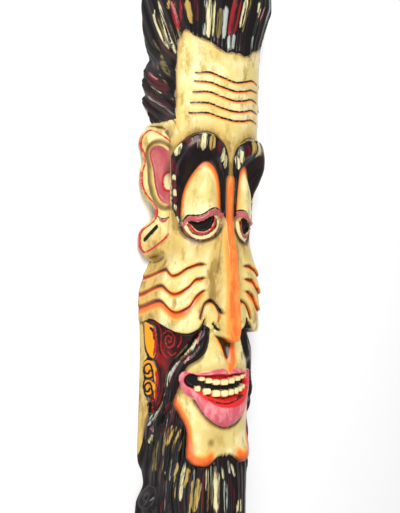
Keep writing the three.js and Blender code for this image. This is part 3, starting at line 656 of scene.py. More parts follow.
browDaubs = {
    "cream": [
        (7.8, [(80, 146), (85, 131)]), (7.8, [(49, 160), (51, 140)]), (7.2, [(16, 144), (20, 127)]),
        (7.2, [(10, 135), (14, 119)]), (4.4, [(89, 104), (89.5, 98)]), (4.2, [(90, 86), (89, 77)]),
        (3.6, [(89, 66), (88, 58)]), (2.6, [(86, 50), (84, 43)])],
    "gold": [(4.5, [(57, 151), (57, 141)]), (9.1, [(38, 158), (39, 141)]), (2.5, [(66, 153), (65, 145)])],
    "maroon": [
        (9.1, [(71, 152), (66, 143)]), (8.5, [(27, 151), (27, 138)]), (5.2, [(60, 156), (61, 149)]),
        (6.5, [(89, 124), (89, 110)]), (5.9, [(90, 98), (89.5, 88)]), (5.2, [(89, 77), (88.5, 69)]),
        (3.4, [(84, 118), (83, 104)]), (3.2, [(86, 62), (85, 52)]), (3, [(84, 90), (84, 76)])],
    "greyWhite": [(1.5, [(33, 159.5), (45, 161.5), (56, 159.5)])],
}
moustacheBlobs = {"cream": [(5, [(101, -193), (107, -206)])], "pink": [(3.5, [(118, -231), (122, -237)])]}

mouthShapes = {
    "gum": [
        (-63, -158.5), (-50, -159.5), (-35, -159.5), (-20, -158), (0, -160), (15, -158), (30, -158),
        (50, -160), (62, -160), (69, -168), (61, -178), (52, -185), (44, -190), (36, -195), (26, -200),
        (12, -203.5), (-8, -203.5), (-22, -200), (-34, -194), (-45, -187), (-54, -180), (-62, -174)],
    "dark": [
        (-69, -168), (-66, -161.5), (-57, -158.5), (-50, -161), (-40, -164.5), (-30, -168.5), (-20, -171),
        (-5, -172.5), (10, -170), (20, -166.5), (28, -163.5), (45, -161), (60, -161), (67, -167), (62, -174),
        (48, -177), (30, -178), (20, -180), (10, -182), (-10, -182.5), (-30, -181), (-40, -179),
        (-57, -177), (-65, -174)],
}
mouthLines = {
    "gumLine": [(-34, -191), (-20, -196), (-7, -198), (5, -196.5), (15, -194), (32, -189)],
    "underLip": [(-53, -194), (-46, -203), (-40, -211), (-30, -220), (-20, -226), (-10, -230), (0, -231.5),
                 (12, -230.5), (24, -226.5), (36, -216), (42, -206)],
}
eyeShapes = {
    "lidRim": [
        (75, 48), (70, 50.5), (55, 51), (48, 52.5), (42, 56), (36, 60), (30, 61.5), (24, 61.5), (18, 59.5),
        (13, 57), (14, 48.5), (20, 51), (25, 53), (36, 51.5), (42, 48), (48, 45), (55, 43.5), (65, 44.5),
        (70, 43.5), (72, 40), (77, 33), (78, 40)],
    "pupil": [
        (70, 43), (65, 44.5), (55, 43.5), (48, 45), (42, 48), (36, 51.5), (28, 52), (29, 45), (32, 38),
        (38, 33), (44, 31), (50, 31), (56, 32.5), (63, 38)],
}
eyeLines = {
    "rimLine": [(78, 44), (74, 49), (70, 51.7), (55, 52.2), (48, 53.8), (42, 57.4), (36, 61.3), (30, 63),
                (24, 63), (18, 60.7), (12, 57)],
    "redArc": [(68, 40), (60, 31.5), (52, 28.5), (44, 28.5), (36, 31), (30, 37), (27, 44), (28, 49)],
    "darkArc": [(71, 40), (63, 29.8), (56, 27), (47, 26.2), (38, 28), (31, 33), (25.5, 40), (25, 48)],
    "creamArc": [(74, 36), (66, 28), (58, 24), (48, 22.5), (38, 24.5), (29, 29), (22, 37), (20.5, 46)],
}
earLines = {
    "rim": [
        (48, 145), (50, 150), (60, 157), (70, 162), (80, 166), (88, 167), (95, 163), (100, 158), (102, 152),
        (101, 143), (97, 137), (94, 130), (94.5, 122), (98, 112), (99, 103), (98, 94), (95, 86), (90, 79),
        (83, 73), (76, 67), (71.5, 60.5), (71, 54), (73, 49), (78, 43), (85, 38), (93, 33), (98, 27),
        (99.5, 19), (98.5, 10), (95, 4), (90, 1.5), (80, 6), (70, 12), (60, 19), (50, 28), (40, 36)],
    "smile": [(71, 51), (66, 48.5), (60, 47.5), (54, 48.5), (51, 50)],
    "smileMark": [(70, 50), (66, 47.5), (60, 46.5), (54, 47.5), (52, 49), (56, 43.5), (62, 42), (67, 44.5)],
}
sideStripEdge = [
    (127, -219), (133, -228), (133.5, -239), (136, -250), (141, -268), (170, -268), (170, -80), (140, -91),
    (139.5, -105), (139, -118), (137, -131), (133, -141.5), (138.5, -147), (141.5, -156), (138, -168),
    (140.5, -180), (136, -191), (130, -200), (129.5, -210)]
scrollInk = [
    (2.6, [(138, -92), (139, -105), (138, -118), (135.5, -130), (130, -139), (122, -148), (117, -156),
        (113, -163)]),
    (2.4, [(137, -91), (129, -93.5), (121.5, -98.5), (118.5, -106), (118, -119), (117, -131), (111, -139)]),
    (2, [(133, -142), (125, -143), (119, -151), (116, -165), (116, -178)]),
    (1.8, [(133, -168), (126, -170), (120.5, -178), (118, -190), (120, -203)]),
    (2.2, [(140, -157), (136, -168), (139.5, -181), (134, -193), (128, -200)])]
redLicks = [
    (2.2, [(125, -198), (130, -201.5), (129.5, -208), (125.5, -208)]),
    (2.2, [(129, -211), (125.5, -214), (125.5, -220)]),
    (3.6, [(124.5, -99), (122.5, -110), (121.5, -124), (124, -137)]),
    (3.4, [(121, -158), (119.5, -170), (120.5, -184)]), (3, [(122, -184), (121, -192), (122.5, -201)]),
    (2, [(84, -132), (93, -136), (101, -131)]), (2, [(76, -108), (77, -118), (83, -126)]),
    (2.4, [(134, -91.5), (120, -95), (115, -104), (114.5, -118), (114, -129), (107, -137), (99, -140)])]
# dark patch under the nose
noseShadow = [(-20, -106), (9, -115), (7, -127), (4, -137), (0, -139), (-5, -131), (-10, -121), (-15, -113)]

maskPaint = {
    "foreheadLine": 2.6,   # width of the drawn lines, mm
    "brushWidth": 1.12,    # width of the drawn strokes on the mask, as a share
    "glowReach": 6.0,      # orange under a line of the forehead
    "foldGlow": (8, 10, 19),   # and under the three folds of the cheek
    "looseStrokes": 62,    # extra strokes where the photograph shows none
}


# distance to a brush stroke less its half width, thinner towards its ends
def strokeField(width, points, s, y, reach=14.0):
    line = smoothLine(points, False, 4)
    steps = np.r_[0, np.cumsum(np.hypot(*np.diff(line, axis=0).T))]
    near = np.full(s.shape, reach)
    low, high = line.min(0) - reach, line.max(0) + reach
    pick = (s > low[0]) & (s < high[0]) & (y > low[1]) & (y < high[1])
    if not pick.any():
        return near
    g, v = s[pick], y[pick]
    best = np.full(g.shape, reach)
    for i in range(len(line) - 1):
        (ax, ay), (bx, by) = line[i], line[i + 1]
        length = (bx - ax) ** 2 + (by - ay) ** 2
        if length == 0:
            continue
        share = np.clip(((g - ax) * (bx - ax) + (v - ay) * (by - ay)) / length, 0, 1)
        along = (steps[i] + share * (steps[i + 1] - steps[i])) / steps[-1]
        half = width / 2 * np.clip(4.5 * np.minimum(along, 1 - along) + 0.45, 0, 1)
        away = np.hypot(g - ax - share * (bx - ax), v - ay - share * (by - ay)) - half
        best = np.minimum(best, away)
    near[pick] = best
    return near


# strokes for the half and the ends that the photograph doesn't show, in the same colours
def looseStrokes():
    random = np.random.default_rng(7)
    names = ["cream", "gold", "olive", "greyWhite", "red", "maroon", "pink"]
    extra = {name: [] for name in names}
    for _ in range(maskPaint["looseStrokes"]):
        name = names[random.integers(len(names))]
        width = random.uniform(2.2, 6.5)
        length = random.uniform(22, 48)
        lift = random.uniform(0, 1)
        onBeard = random.random() < 0.4
        if onBeard:
            side = random.uniform(-105, 110)
            start = -300 - 120 * lift if side > 55 else -362 - 70 * lift
            points = [(side, start), (side * 0.99 + 1.5, start - length / 2), (side * 0.95, start - length)]
        else:
            side = random.uniform(-120, 128)
            start = (330 if side > 46 else 392) + 90 * lift
            lean = hairLean(abs(side)) * np.sign(side) * length
            points = [(side, start), (side - lean / 2, start - length / 2), (side - lean, start - length)]
        extra[name].append((width, points))
    for name in ("maroon", "olive", "greyWhite", "red"):
        for _ in range(3):
            start = random.uniform(190, 258)
            width = random.uniform(1.8, 3.6)
            extra[name].append((width, [(136, start), (118, start - 13), (100, start - 25)]))
    return extra


def strokesAt(daubs, s, y, wider=1.0):
    return [strokeField(width * wider, points, s, y) for width, points in daubs]


# where the points lie, and how far from what is drawn: on both halves, on one, or on the ear as seen
class Places:
    def __init__(self, s, y):
        self.s, self.g, self.y = s, np.abs(s), y
        share, _, fx = alongEar(self.g, y)
        rows = ease(-14, -6, y) * ease(182, 176, y)
        onEar = (rows > 0.3) & (share > 0) & (share < 0.86)
        self.seen = np.where(onEar, seenAt(fx), 0)
        self.offEar = np.where(onEar, 0, 30)
        self.across = {"both": self.g, "one": s, "ear": self.seen}

    def area(self, points, side="both", closed=True):
        away = shape(points, self.across[side], self.y, closed)
        return away + self.offEar if side == "ear" else away

    def line(self, points, width=0.0, side="both"):
        return self.area(points, side, False) - width / 2


# every painted region and line as a field in mm, negative inside, or a share from 0 to 1
def paintFields(s, y, fields):
    at = Places(s, y)
    underNose = at.area(noseShadow, "one")
    stripe = at.g - runs([(112, 8.5), (70, 7), (30, 7.5), (-30, 8), (-80, 9.5), (-102, 9.5), (-116, 5)], y)
    layers = {
        "stripe": np.maximum(stripe, np.maximum(y - 108, -118 - y)),
        "glow": glowOf(at, fields, underNose, stripe),
        "shade": shadeOf(at, fields, underNose),
        "washAndShade": washAndShadeOf(at, fields),
        "bare": np.where(at.g > quarterGirth - 0.01, 1.0, 0.0)}
    for part in (hairLayers, scrollLayers, darkLayers, inkLayers):
        layers.update(part(at, fields))
    for part in (redLayers, foldLayers, strokeLayers):
        layers.update(part(at))
    return layers


def hairLayers(at, fields):
    g, y = at.g, at.y
    onHead = np.where(y > 160 + 20 * ease(80, 87, g), -fields["forehead"], 30)
    besideChin = union([np.maximum(y + 172, g - 99), y - runs(beardTop, g)])
    onBeard = np.maximum.reduce([-fields["chin"], besideChin, -fields["panel"]])
    hair = union([onHead, onBeard, fields["moustache"] - 0.6])
    behindEar = np.where(at.offEar > 0, -30, -at.area(outlines["ear"], "ear"))
    lid, brow = fields["lid"], fields["brow"]
    return {
        "hair": np.maximum(hair, behindEar),
        "brow": np.maximum.reduce([union([brow, lid]), -lid, 28 - y, g - 92.6]),
        # a painted highlight on the rings of each beard curl
        "curlHighlight": at.line(spiralLine(*curlCentre, 17, 1.9), 1.8)}


def scrollLayers(at, fields):
    g, y = at.g, at.y
    ochreArea = union([at.area(scrollLeaf)] + scrollEnds(g, y))
    curls = [at.line(curlOf(disc), 2.3) for disc in scrollDiscs]
    redGlow = [(124, -122), (118, -140), (112, -156), (112, -176), (116, -196)]
    return {
        "panel": np.maximum(fields["panel"], -fields["cheekBottom"]),
        "strip": at.area(sideStripEdge),
        "ochreArea": ochreArea,
        "ochre": -union(curls + [strokeField(3.4, leafComma, g, y), -0.9 - ochreArea]),
        "scrollInk": union(strokesAt(scrollInk, g, y) + curls),
        "panelGlow": 0.9 * hump(at.line(redGlow), 0, 13),
        "scrollRed": union([at.line(spiralLine(*redScroll), 2.6)] + strokesAt(redLicks, g, y))}


# mouth with its teeth, pupils, nostrils, and the black of the ear
def darkLayers(at, fields):
    teeth = [(toothPlace(tooth, at.s, at.y) ** 0.25 - 0.95) * tooth[3] for tooth in upperTeeth + lowerTeeth]
    return {
        "lips": union([fields["lips"], fields["mouth"]]),
        "gum": at.area(mouthShapes["gum"], "one"),
        "teeth": union(teeth),
        "dark": union([
            at.area(mouthShapes["dark"], "one"), at.area(eyeShapes["pupil"]),
            at.line(strokes["nostril"], 3.2), at.line(strokes["lobeSlot"], 5.4, "ear"),
            at.line(earLines["smile"], 1.8, "ear")])}


# pink, red and pale lines round the eyes and in the ears
def redLayers(at):
    bump = bumpPlace(at.seen, at.y)
    return {
        "rosy": union([
            at.area(eyeShapes["lidRim"]), at.area(outlines["concha"], "ear"),
            at.area(earLines["smileMark"], "ear")]),
        "redLine": union([
            at.line(eyeLines["redArc"], 4.0), at.line(earLines["rim"], 2.4, "ear"),
            np.abs(bump - 1) * 9 - 1.1 + at.offEar]),
        "creamArc": union([at.line(eyeLines["creamArc"], 3.8), bump * 9 - 8 + at.offEar])}


def inkLayers(at, fields):
    g, y = at.g, at.y
    cheek = fields["cheekBottom"]
    lines = []
    for line in foreheadLines:
        past = np.maximum(0, g - line[-1][0]) * 2
        lines.append(np.abs(y - runs(line, g)) + past - maskPaint["foreheadLine"] / 2)
    under = np.abs(cheek - 0.4) - 1.3 + np.where((y > -60) | (g > 131), 30, 0)
    edge = np.abs(np.where(g > 100, fields["panel"], 30)) - 1.3
    lines += [np.where(g > 40, under, 30), np.maximum(edge, 1 - cheek)]
    lines += [at.line(eyeLines["rimLine"], 2.2), at.line(eyeLines["darkArc"], 2.0)]
    lines += [at.line(mouthLines["gumLine"], 1.6, "one"), at.line(mouthLines["underLip"], 1.4, "one")]
    lines += [at.line(strokes["wing"], 1.3), strokeField(4.2, strokes["wing"][3:], g, y)]
    return {"ink": union(lines)}


def foldLayers(at):
    g, y = at.g, at.y
    thickness = 0.4 + 0.55 * hump(g, 102, 11) + 0.3 * hump(g, 60, 14) - 0.5 * ease(112, 124, g)
    faded = 20 * ease(42, 34, g) + 20 * ease(124, 134, g)
    lines, bands = [], []
    for fold in cheekFolds:
        above = y - runs(fold, g)
        lines.append(np.abs(above + 0.4) * 0.85 - thickness + faded)
        bands.append(np.abs(above + 1.9) * 0.85 - 1.5 * ease(38, 52, g) + 20 * ease(44, 36, g))
    return {"foldLine": union(lines), "foldRed": union(bands)}


# orange that fades out from the lines of the face
def glowOf(at, fields, underNose, stripe):
    g, y = at.g, at.y
    glows = []
    for line in foreheadLines:
        below = runs(line, g) - y
        ends = ease(line[-1][0] + 4, line[-1][0] - 6, g)
        glows.append(ease(maskPaint["glowReach"], 0, below) * ease(-1.5, 0.5, below) * ends * 0.95)
    for fold, reach in zip(cheekFolds, maskPaint["foldGlow"]):
        below = runs(fold, g) - y
        glows.append(1.15 * ease(reach, 0, below) * ease(-2, 1, below) * ease(34, 52, g))
        glows.append(0.5 * ease(-7, 0, below) * ease(1, 0, below) * ease(46, 60, g))
    lid, chin, wing = fields["lid"], fields["chin"], wingPlace(g, y)
    lidReach = runs([(60, 9), (40, 14), (20, 12), (0, 12)], g)
    chinReach = runs([(-170, 9), (-200, 15), (-240, 14), (-262, 24), (-285, 30)], y)
    besideShadow = at.line([(12, -118), (11, -130), (8, -142), (3, -153)], side="one")
    glows += [
        1.1 * ease(-lidReach, 0, lid) * ease(44, 66, y) * ease(2.5, 1, lid),
        0.85 * ease(-6.5, -2, lid) * ease(2, 0, lid) * ease(42, 34, y) * ease(30, 55, g),
        1.2 * ease(-chinReach, -1, chin) * ease(2, 0, chin) * ease(-165, -190, y) * ease(14, 30, g),
        0.8 * ease(6, 0.5, underNose) * ease(-107, -115, y),
        0.95 * hump(besideShadow, 0, 7) * ease(-112, -118, y),
        0.62 * ease(7, 1, stripe) * ease(60, 10, y) * ease(-120, -112, y) * ease(4, -2, at.s),
        0.8 * ease(0.55, 1.0, wing) * ease(1.15, 1.0, wing) * ease(-96, -80, y)]
    return np.maximum.reduce(glows)


# brown in the folds and under the edges
def shadeOf(at, fields, underNose):
    g, y, s, seen = at.g, at.y, at.s, at.seen
    cheek, lid, brow = fields["cheekBottom"], fields["lid"], fields["brow"]
    besideNose = runs([(110, 14), (40, 18), (-20, 29), (-60, 36)], y)
    bowlTop = np.hypot(seen - 52, (y - 108) * 0.6) + at.offEar
    shades = [
        0.8 * hump(fields["wing"], 0, 3.5),
        0.8 * ease(7, 0, cheek) * ease(-1, 0.5, cheek) * ease(-85, -95, y),
        1.9 * ease(1.5, -2.5, underNose) * ease(-0.5, 1, runs(noseFoot, g) - y),
        0.14 * hump(g, besideNose, 9.5) * ease(112, 90, y) * ease(-62, -48, y),
        0.3 * hump(y, 5, 22) * hump(g, 88, 16),
        0.8 * hump(fields["moustache"], 1, 5) * ease(35, 42, g),
        0.75 * hump(at.line(strokes["earGroove"], side="ear"), 0, 4.5),
        0.8 * hump(bowlTop, 0, 14) * ease(18, 4, np.abs(seen - 48)),
        0.6 * hump(lid, 0, 2.2) * ease(20, 40, y),
        1.25 * hump(lid, 0.6, 4.0) * ease(44, 34, y),
        0.7 * hump(fields["chin"], 0, 4) * ease(-160, -185, y),
        0.55 * hump(np.minimum(lid, brow), 1, 5) * ease(150, 120, y) * ease(34, 20, g),
        0.8 * hump(at.line(mouthLines["underLip"], side="one"), 0, 4),
        0.6 * hump(fields["forehead"], 0, 3.5) * ease(170, 200, y),
        0.65 * hump(np.hypot(s + 26, y + 250), 0, 7)]
    for fold in cheekFolds:
        apart = np.abs(runs(fold, g) - y)
        shades.append(0.75 * ease(6, 0, apart) * ease(82, 102, g))
        shades.append(0.65 * ease(5, 0, apart) * ease(64, 52, g) * ease(36, 46, g))
    return np.maximum.reduce(shades)


# thin old brown wash round the raised parts and down the sides of the face, partly painted shade
def washAndShadeOf(at, fields):
    g, y = at.g, at.y
    eyes = np.minimum(fields["lid"], fields["brow"])
    besideNose = runs([(110, 14), (40, 18), (-20, 24), (-60, 27)], y)
    washAndShades = [
        1.15 * ease(29, 0, eyes) * ease(-8, 2, eyes),
        0.9 * hump(y, 12, 26) * ease(24, 50, g),
        1.1 * hump(g, besideNose, 15) * ease(-90, -60, y) * ease(112, 90, y),
        0.8 * ease(16, 0, np.abs(fields["forehead"])) * ease(150, 170, y),
        0.95 * ease(96, 112, g) * ease(40, 0, y),
        0.8 * ease(14, 2, np.abs(fields["lips"])),
        0.8 * hump(np.hypot(at.s + 20, y + 248), 0, 26),
        0.85 * ease(12, 2, np.abs(at.area(outlines["concha"], "ear"))),
        0.7 * ease(12, 2, np.abs(at.area(outlines["ear"], "ear")))]
    return np.maximum.reduce(washAndShades)


def strokeLayers(at):
    loose = looseStrokes()
    layers = {}
    for name, drawn in brushStrokes.items():
        own = strokesAt(drawn + loose[name], at.s, at.y, maskPaint["brushWidth"])
        own += strokesAt(browDaubs.get(name, []) + moustacheBlobs.get(name, []), at.g, at.y)
        if name in ("greyWhite", "maroon"):
            mirrored = [(width, [(-a, b) for a, b in points]) for width, points in drawn[-3:]]
            own += strokesAt(mirrored, at.s, at.y)
        layers[name] = union(own)
    return layers


# rows and columns of the visible mesh, closer where the carving is finer
maskMesh = {
    "girthStretches": [(-quarterGirth, -92, 34), (-92, 76, 108), (76, quarterGirth, 34)],
    "alongStretches": [(500, 350, 36), (350, 165, 96), (165, -238, 292), (-238, -350, 64), (-350, -500, 36)],
    "hollowAcross": 30,
    "hollowAlong": 120,
    "hollowDepth": 50.0,
    "hollowHalfWidth": 52.0,
    "endBlock": 60.0,
}


# places along stretches of (start, end, number of steps)
def spread(stretches):
    places = [stretches[0][0]]
    for start, end, count in stretches:
        places.extend(np.linspace(start, end, count + 1)[1:])
    return np.array(places)


def gridOf(across, along):
    mesh = bmesh.new()
    bmesh.ops.create_grid(mesh, x_segments=across - 1, y_segments=along - 1, size=1.0)
    mesh.verts.ensure_lookup_table()
    flat = np.array([vert.co[:2] for vert in mesh.verts])
    column = np.rint((flat[:, 0] + 1) / 2 * (across - 1)).astype(int)
    row = np.rint((1 - flat[:, 1]) / 2 * (along - 1)).astype(int)
    return mesh, column, row


def moveVerts(mesh, points):
    for vert, point in zip(mesh.verts, points * millimetre):
        vert.co = point


# the boat-shaped hollow: across its section and along it, seen from behind
def hollowPoint(across, along):
    m = maskMesh
    reach = halfLength - m["endBlock"]
    y = reach * along
    end = np.clip((np.abs(y) - (reach - m["hollowHalfWidth"])) / m["hollowHalfWidth"], 0, 1)
    size = np.sqrt(np.maximum(0, 1 - end ** 2))
    angle = (1 - across) / 2 * np.pi
    c, s = np.cos(angle), np.maximum(0, np.sin(angle))
    x = np.sign(c) * np.abs(c) ** (2 / 3) * m["hollowHalfWidth"] * size
    z = s ** (2 / 3) * m["hollowDepth"] * size
    gouge = 0.5 * np.abs(np.sin(y / 13 + 2 * np.sin(x / 14))) * ease(0, 6, z)
    return np.stack([x, y, np.maximum(0, z - gouge)], -1)


def carveMask():
    m = maskMesh
    girths, places = spread(m["girthStretches"]), spread(m["alongStretches"])
    mesh, column, row = gridOf(len(girths), len(places))
    s, y = girths[column], places[row]
    points, fields = surface(s, y)
    layers = paintFields(s, y, fields)
    print("relief and paint laid out:", len(layers), "layers on", len(mesh.verts), "points")
    # depth below the surroundings, which the material turns into painted shade in the hollows
    cavity = cavityOf(points, column, row, len(girths), len(places))
    besideEar = hump(np.abs(s), 93, 4) * earRows(np.abs(s), y)
    cavity = blend(cavity, np.clip(cavity, -0.2, 0.25), besideEar)
    moveVerts(mesh, points)
    for name, values in layers.items():
        layer = mesh.verts.layers.float.new(name)
        for vert, value in zip(mesh.verts, np.clip(values, -20, 20)):
            vert[layer] = value
    strand = mesh.verts.layers.float_vector.new("strand")
    hollowed = mesh.verts.layers.float.new("cavity")
    across = strandPlace(s, y)
    for i, vert in enumerate(mesh.verts):
        vert[strand] = (across[i, 0] / 10, across[i, 1] / 10, 0)
        vert[hollowed] = cavity[i]
    return mesh


# how far each point lies below the points round it, in mm: the paint is darker there as painted shade, and
# the hair's brush strokes thin out there
def cavityOf(points, column, row, columns, rows):
    height = np.zeros((rows, columns, 3))
    height[row, column] = points
    soft = height.copy()
    for _ in range(5):
        padded = np.pad(soft, ((1, 1), (1, 1), (0, 0)), mode="edge")
        soft = (padded[:-2, 1:-1] + padded[2:, 1:-1] + padded[1:-1, :-2] + padded[1:-1, 2:] + 2 * soft) / 6
    across = np.gradient(height, axis=1)
    along = np.gradient(height, axis=0)
    normal = np.cross(along, across)
    normal /= np.linalg.norm(normal, axis=2, keepdims=True) + 1e-9
    depth = ((soft - height) * normal).sum(2)
    return depth[row, column]


# place across and along the strands of hair, for the streaks of the brush
def strandPlace(s, y):
    above = standing(s, y)
    across = np.where(y > 160, blend(sideAcross(s, y), topAcross(s, y), above), beardAcross(s, y))
    along = np.where(y > 160, blend(np.abs(s), y, above), y)
    return np.stack([across, along], -1)


# sawn ends, and the flat back between the outer rim and the hollow's
def closeMask(mesh):
    m = maskMesh
    hollow, column, row = gridOf(m["hollowAcross"] + 1, m["hollowAlong"] + 1)
    across = column / m["hollowAcross"] * 2 - 1
    along = 1 - row / m["hollowAlong"] * 2
    along = np.sign(along) * (1 - (1 - np.abs(along)) ** 1.25)
    moveVerts(hollow, hollowPoint(across, along))
    bmesh.ops.remove_doubles(hollow, verts=hollow.verts, dist=0.00002)
    inner = bpy.data.meshes.new("hollowDraft")
    hollow.to_mesh(inner)
    hollow.free()
    mesh.faces.ensure_lookup_table()
    outerRim = [edge for edge in mesh.edges if edge.is_boundary]
    for sign in (1, -1):
        end = [edge for edge in outerRim if all(abs(vert.co.y - sign * 0.5) < 1e-6 for vert in edge.verts)]
        low = [vert for edge in end for vert in edge.verts if vert.co.z < 1e-6]
        foot = sorted(low, key=lambda vert: vert.co.x)
        closing = mesh.edges.new((foot[0], foot[-1]))
        bmesh.ops.contextual_create(mesh, geom=end + [closing])
    rim = [edge for edge in mesh.edges if edge.is_boundary]
    before = set(mesh.verts)
    mesh.from_mesh(inner)
    bpy.data.meshes.remove(inner)
    hollowRim = [edge for edge in mesh.edges if edge.is_boundary and edge.verts[0] not in before]
    bmesh.ops.triangle_fill(mesh, use_beauty=True, edges=rim + hollowRim, normal=(0, 0, -1))
    bmesh.ops.triangulate(mesh, faces=[face for face in mesh.faces if len(face.verts) > 4])
    bmesh.ops.recalc_face_normals(mesh, faces=mesh.faces)
    leaveBare(mesh, before)
    return mesh


# the hollow and the sawn edge round it were never painted
def leaveBare(mesh, painted):
    layers = mesh.verts.layers.float
    shares = ("panelGlow", "glow", "shade", "washAndShade", "cavity")
    for vert in mesh.verts:
        if vert in painted:
            continue
        for name in layers.keys():
            vert[layers[name]] = 0.0 if name in shares else 20.0
        vert[layers["bare"]] = 1.0


def addMask():
    mesh = closeMask(carveMask())
    data = bpy.data.meshes.new("paintedMask")
    mesh.to_mesh(data)
    mesh.free()
    data.shade_smooth()
    piece = bpy.data.objects.new("paintedMask", data)
    bpy.context.scene.collection.objects.link(piece)
    data.materials.append(paintedWood())
    triangles = sum(len(face.vertices) - 2 for face in data.polygons)
    print("mask mesh:", len(data.polygons), "faces,", triangles, "triangles")
    return piece


# display colour, 0 to 255, as Blender's linear colour
def colour(red, green, blue):
    parts = [part / 255 for part in (red, green, blue)]
    linear = [part / 12.92 if part <= 0.04045 else ((part + 0.055) / 1.055) ** 2.4 for part in parts]
    return (*linear, 1.0)


paints = {
    "cream": colour(220, 200, 126),
    "creamLight": colour(236, 222, 164),
    "creamDark": colour(190, 160, 80),
    "grimeAndShade": colour(120, 92, 36),
    "washAndShadeBrown": colour(196, 160, 82),
    "shadeBrown": colour(62, 36, 12),
    "umber": colour(92, 58, 20),
    "orange": colour(240, 106, 44),
    "orangePale": colour(244, 172, 78),
    "rust": colour(176, 52, 24),
    "foldLine": colour(52, 16, 10),
    "black": colour(17, 12, 13),
    "slate": colour(66, 66, 72),
    "lip": colour(204, 90, 104),
    "lidPink": colour(172, 80, 86),
    "lidPinkPale": colour(194, 112, 106),
    "lipPale": colour(238, 158, 160),
    "gum": colour(216, 44, 44),
    "tooth": colour(242, 226, 164),
    "redLine": colour(186, 30, 40),
    "panel": colour(44, 9, 9),
    "panelRed": colour(132, 20, 20),
    "scrollRed": colour(162, 28, 28),
    "ochre": colour(226, 150, 30),
    "ochreDark": colour(170, 90, 16),
    "wood": colour(150, 104, 62),
    "woodDark": colour(96, 60, 32),
}
strokePaints = {
    "cream": colour(222, 212, 162), "gold": colour(180, 152, 80), "olive": colour(124, 106, 58),
    "greyWhite": colour(176, 180, 170), "red": colour(146, 26, 30), "maroon": colour(84, 16, 26),
    "pink": colour(206, 134, 128)}
finish = {
    "edge": 0.55,            # softness of a painted edge, mm
    "wobble": 2.0,           # unevenness of a painted edge, mm
    "gloss": 0.3,            # roughness of the varnish
    "glossSpread": 0.16,
    "coat": 0.1,
    "brushBump": 0.0004,
}


# a shader socket that can be used in sums
class Value:
    def __init__(self, kit, socket):
        self.kit = kit
        self.socket = socket

    def math(self, operation, other):
        return self.kit.node("ShaderNodeMath", {"operation": operation}, {0: self, 1: other})

    def __add__(self, other):
        return self.math("ADD", other)

    def __radd__(self, other):
        return self.math("ADD", other)

    def __sub__(self, other):
        return self.math("SUBTRACT", other)

    def __rsub__(self, other):
        return self.kit.node("ShaderNodeMath", {"operation": "SUBTRACT"}, {0: other, 1: self})

    def __mul__(self, other):
        return self.math("MULTIPLY", other)

    def __rmul__(self, other):
        return self.math("MULTIPLY", other)

    def least(self, other):
        return self.math("MINIMUM", other)


# nodes of one material, each made by one call
class Kit:
    def __init__(self, material):
        self.tree = material.node_tree
        self.nodes = self.tree.nodes
        self.atPoint = self.node("ShaderNodeTexCoord", {}, {}, "Object")
        self.wobble = (self.noise(self.atPoint, 260.0, 2.0) - 0.5) * finish["wobble"]

    def node(self, kind, settings, inputs, output=0):
        made = self.nodes.new(kind)
        for key, value in settings.items():
            setattr(made, key, value)
        for key, value in inputs.items():
            if isinstance(value, Value):
                self.tree.links.new(value.socket, made.inputs[key])
            else:
                made.inputs[key].default_value = value
        return Value(self, made.outputs[output])

    def attribute(self, name, output="Fac"):
        return self.node("ShaderNodeAttribute", {"attribute_name": name}, {}, output)

    def noise(self, vector, scale, detail, roughness=0.55):
        inputs = {"Vector": vector, "Scale": scale, "Detail": detail, "Roughness": roughness}
        return self.node("ShaderNodeTexNoise", {}, inputs, "Fac")

    def remap(self, value, low, high):
        inputs = {"Value": value, "From Min": low, "From Max": high}
        return self.node("ShaderNodeMapRange", {"interpolation_type": "SMOOTHSTEP"}, inputs, "Result")

    def scaled(self, vector, factors):
        return self.node("ShaderNodeVectorMath", {"operation": "MULTIPLY"}, {0: vector, 1: factors})

    # the colour sockets of a Mix node are its seventh and eighth inputs and its third output
    def mix(self, one, other, share):
        return self.node("ShaderNodeMix", {"data_type": "RGBA"}, {0: share, 6: one, 7: other}, 2)

    # 1 inside a painted region, with an uneven edge
    def inside(self, name, grow=0.0, soft=finish["edge"]):
        return self.remap(self.attribute(name) - grow + self.wobble, soft, -soft)


# noises that the paints share
def patternsOf(kit):
    at = kit.atPoint
    strand = kit.attribute("strand", "Vector")
    return {
        "fine": kit.noise(at, 900.0, 2.0),
        "blotch": kit.noise(at, 22.0, 4.0, 0.6),
        "smear": kit.noise(kit.scaled(at, (1.0, 0.45, 1.0)), 70.0, 4.0, 0.65),
        "streak": kit.noise(kit.scaled(strand, (3.4, 0.2, 1.0)), 1.0, 4.0, 0.65),
        "broad": kit.noise(kit.scaled(strand, (1.3, 0.12, 1.0)), 1.0, 2.0),
        "grain": kit.noise(kit.scaled(at, (160.0, 9.0, 160.0)), 1.0, 3.0),
        "cavity": kit.attribute("cavity").least(1.4)}
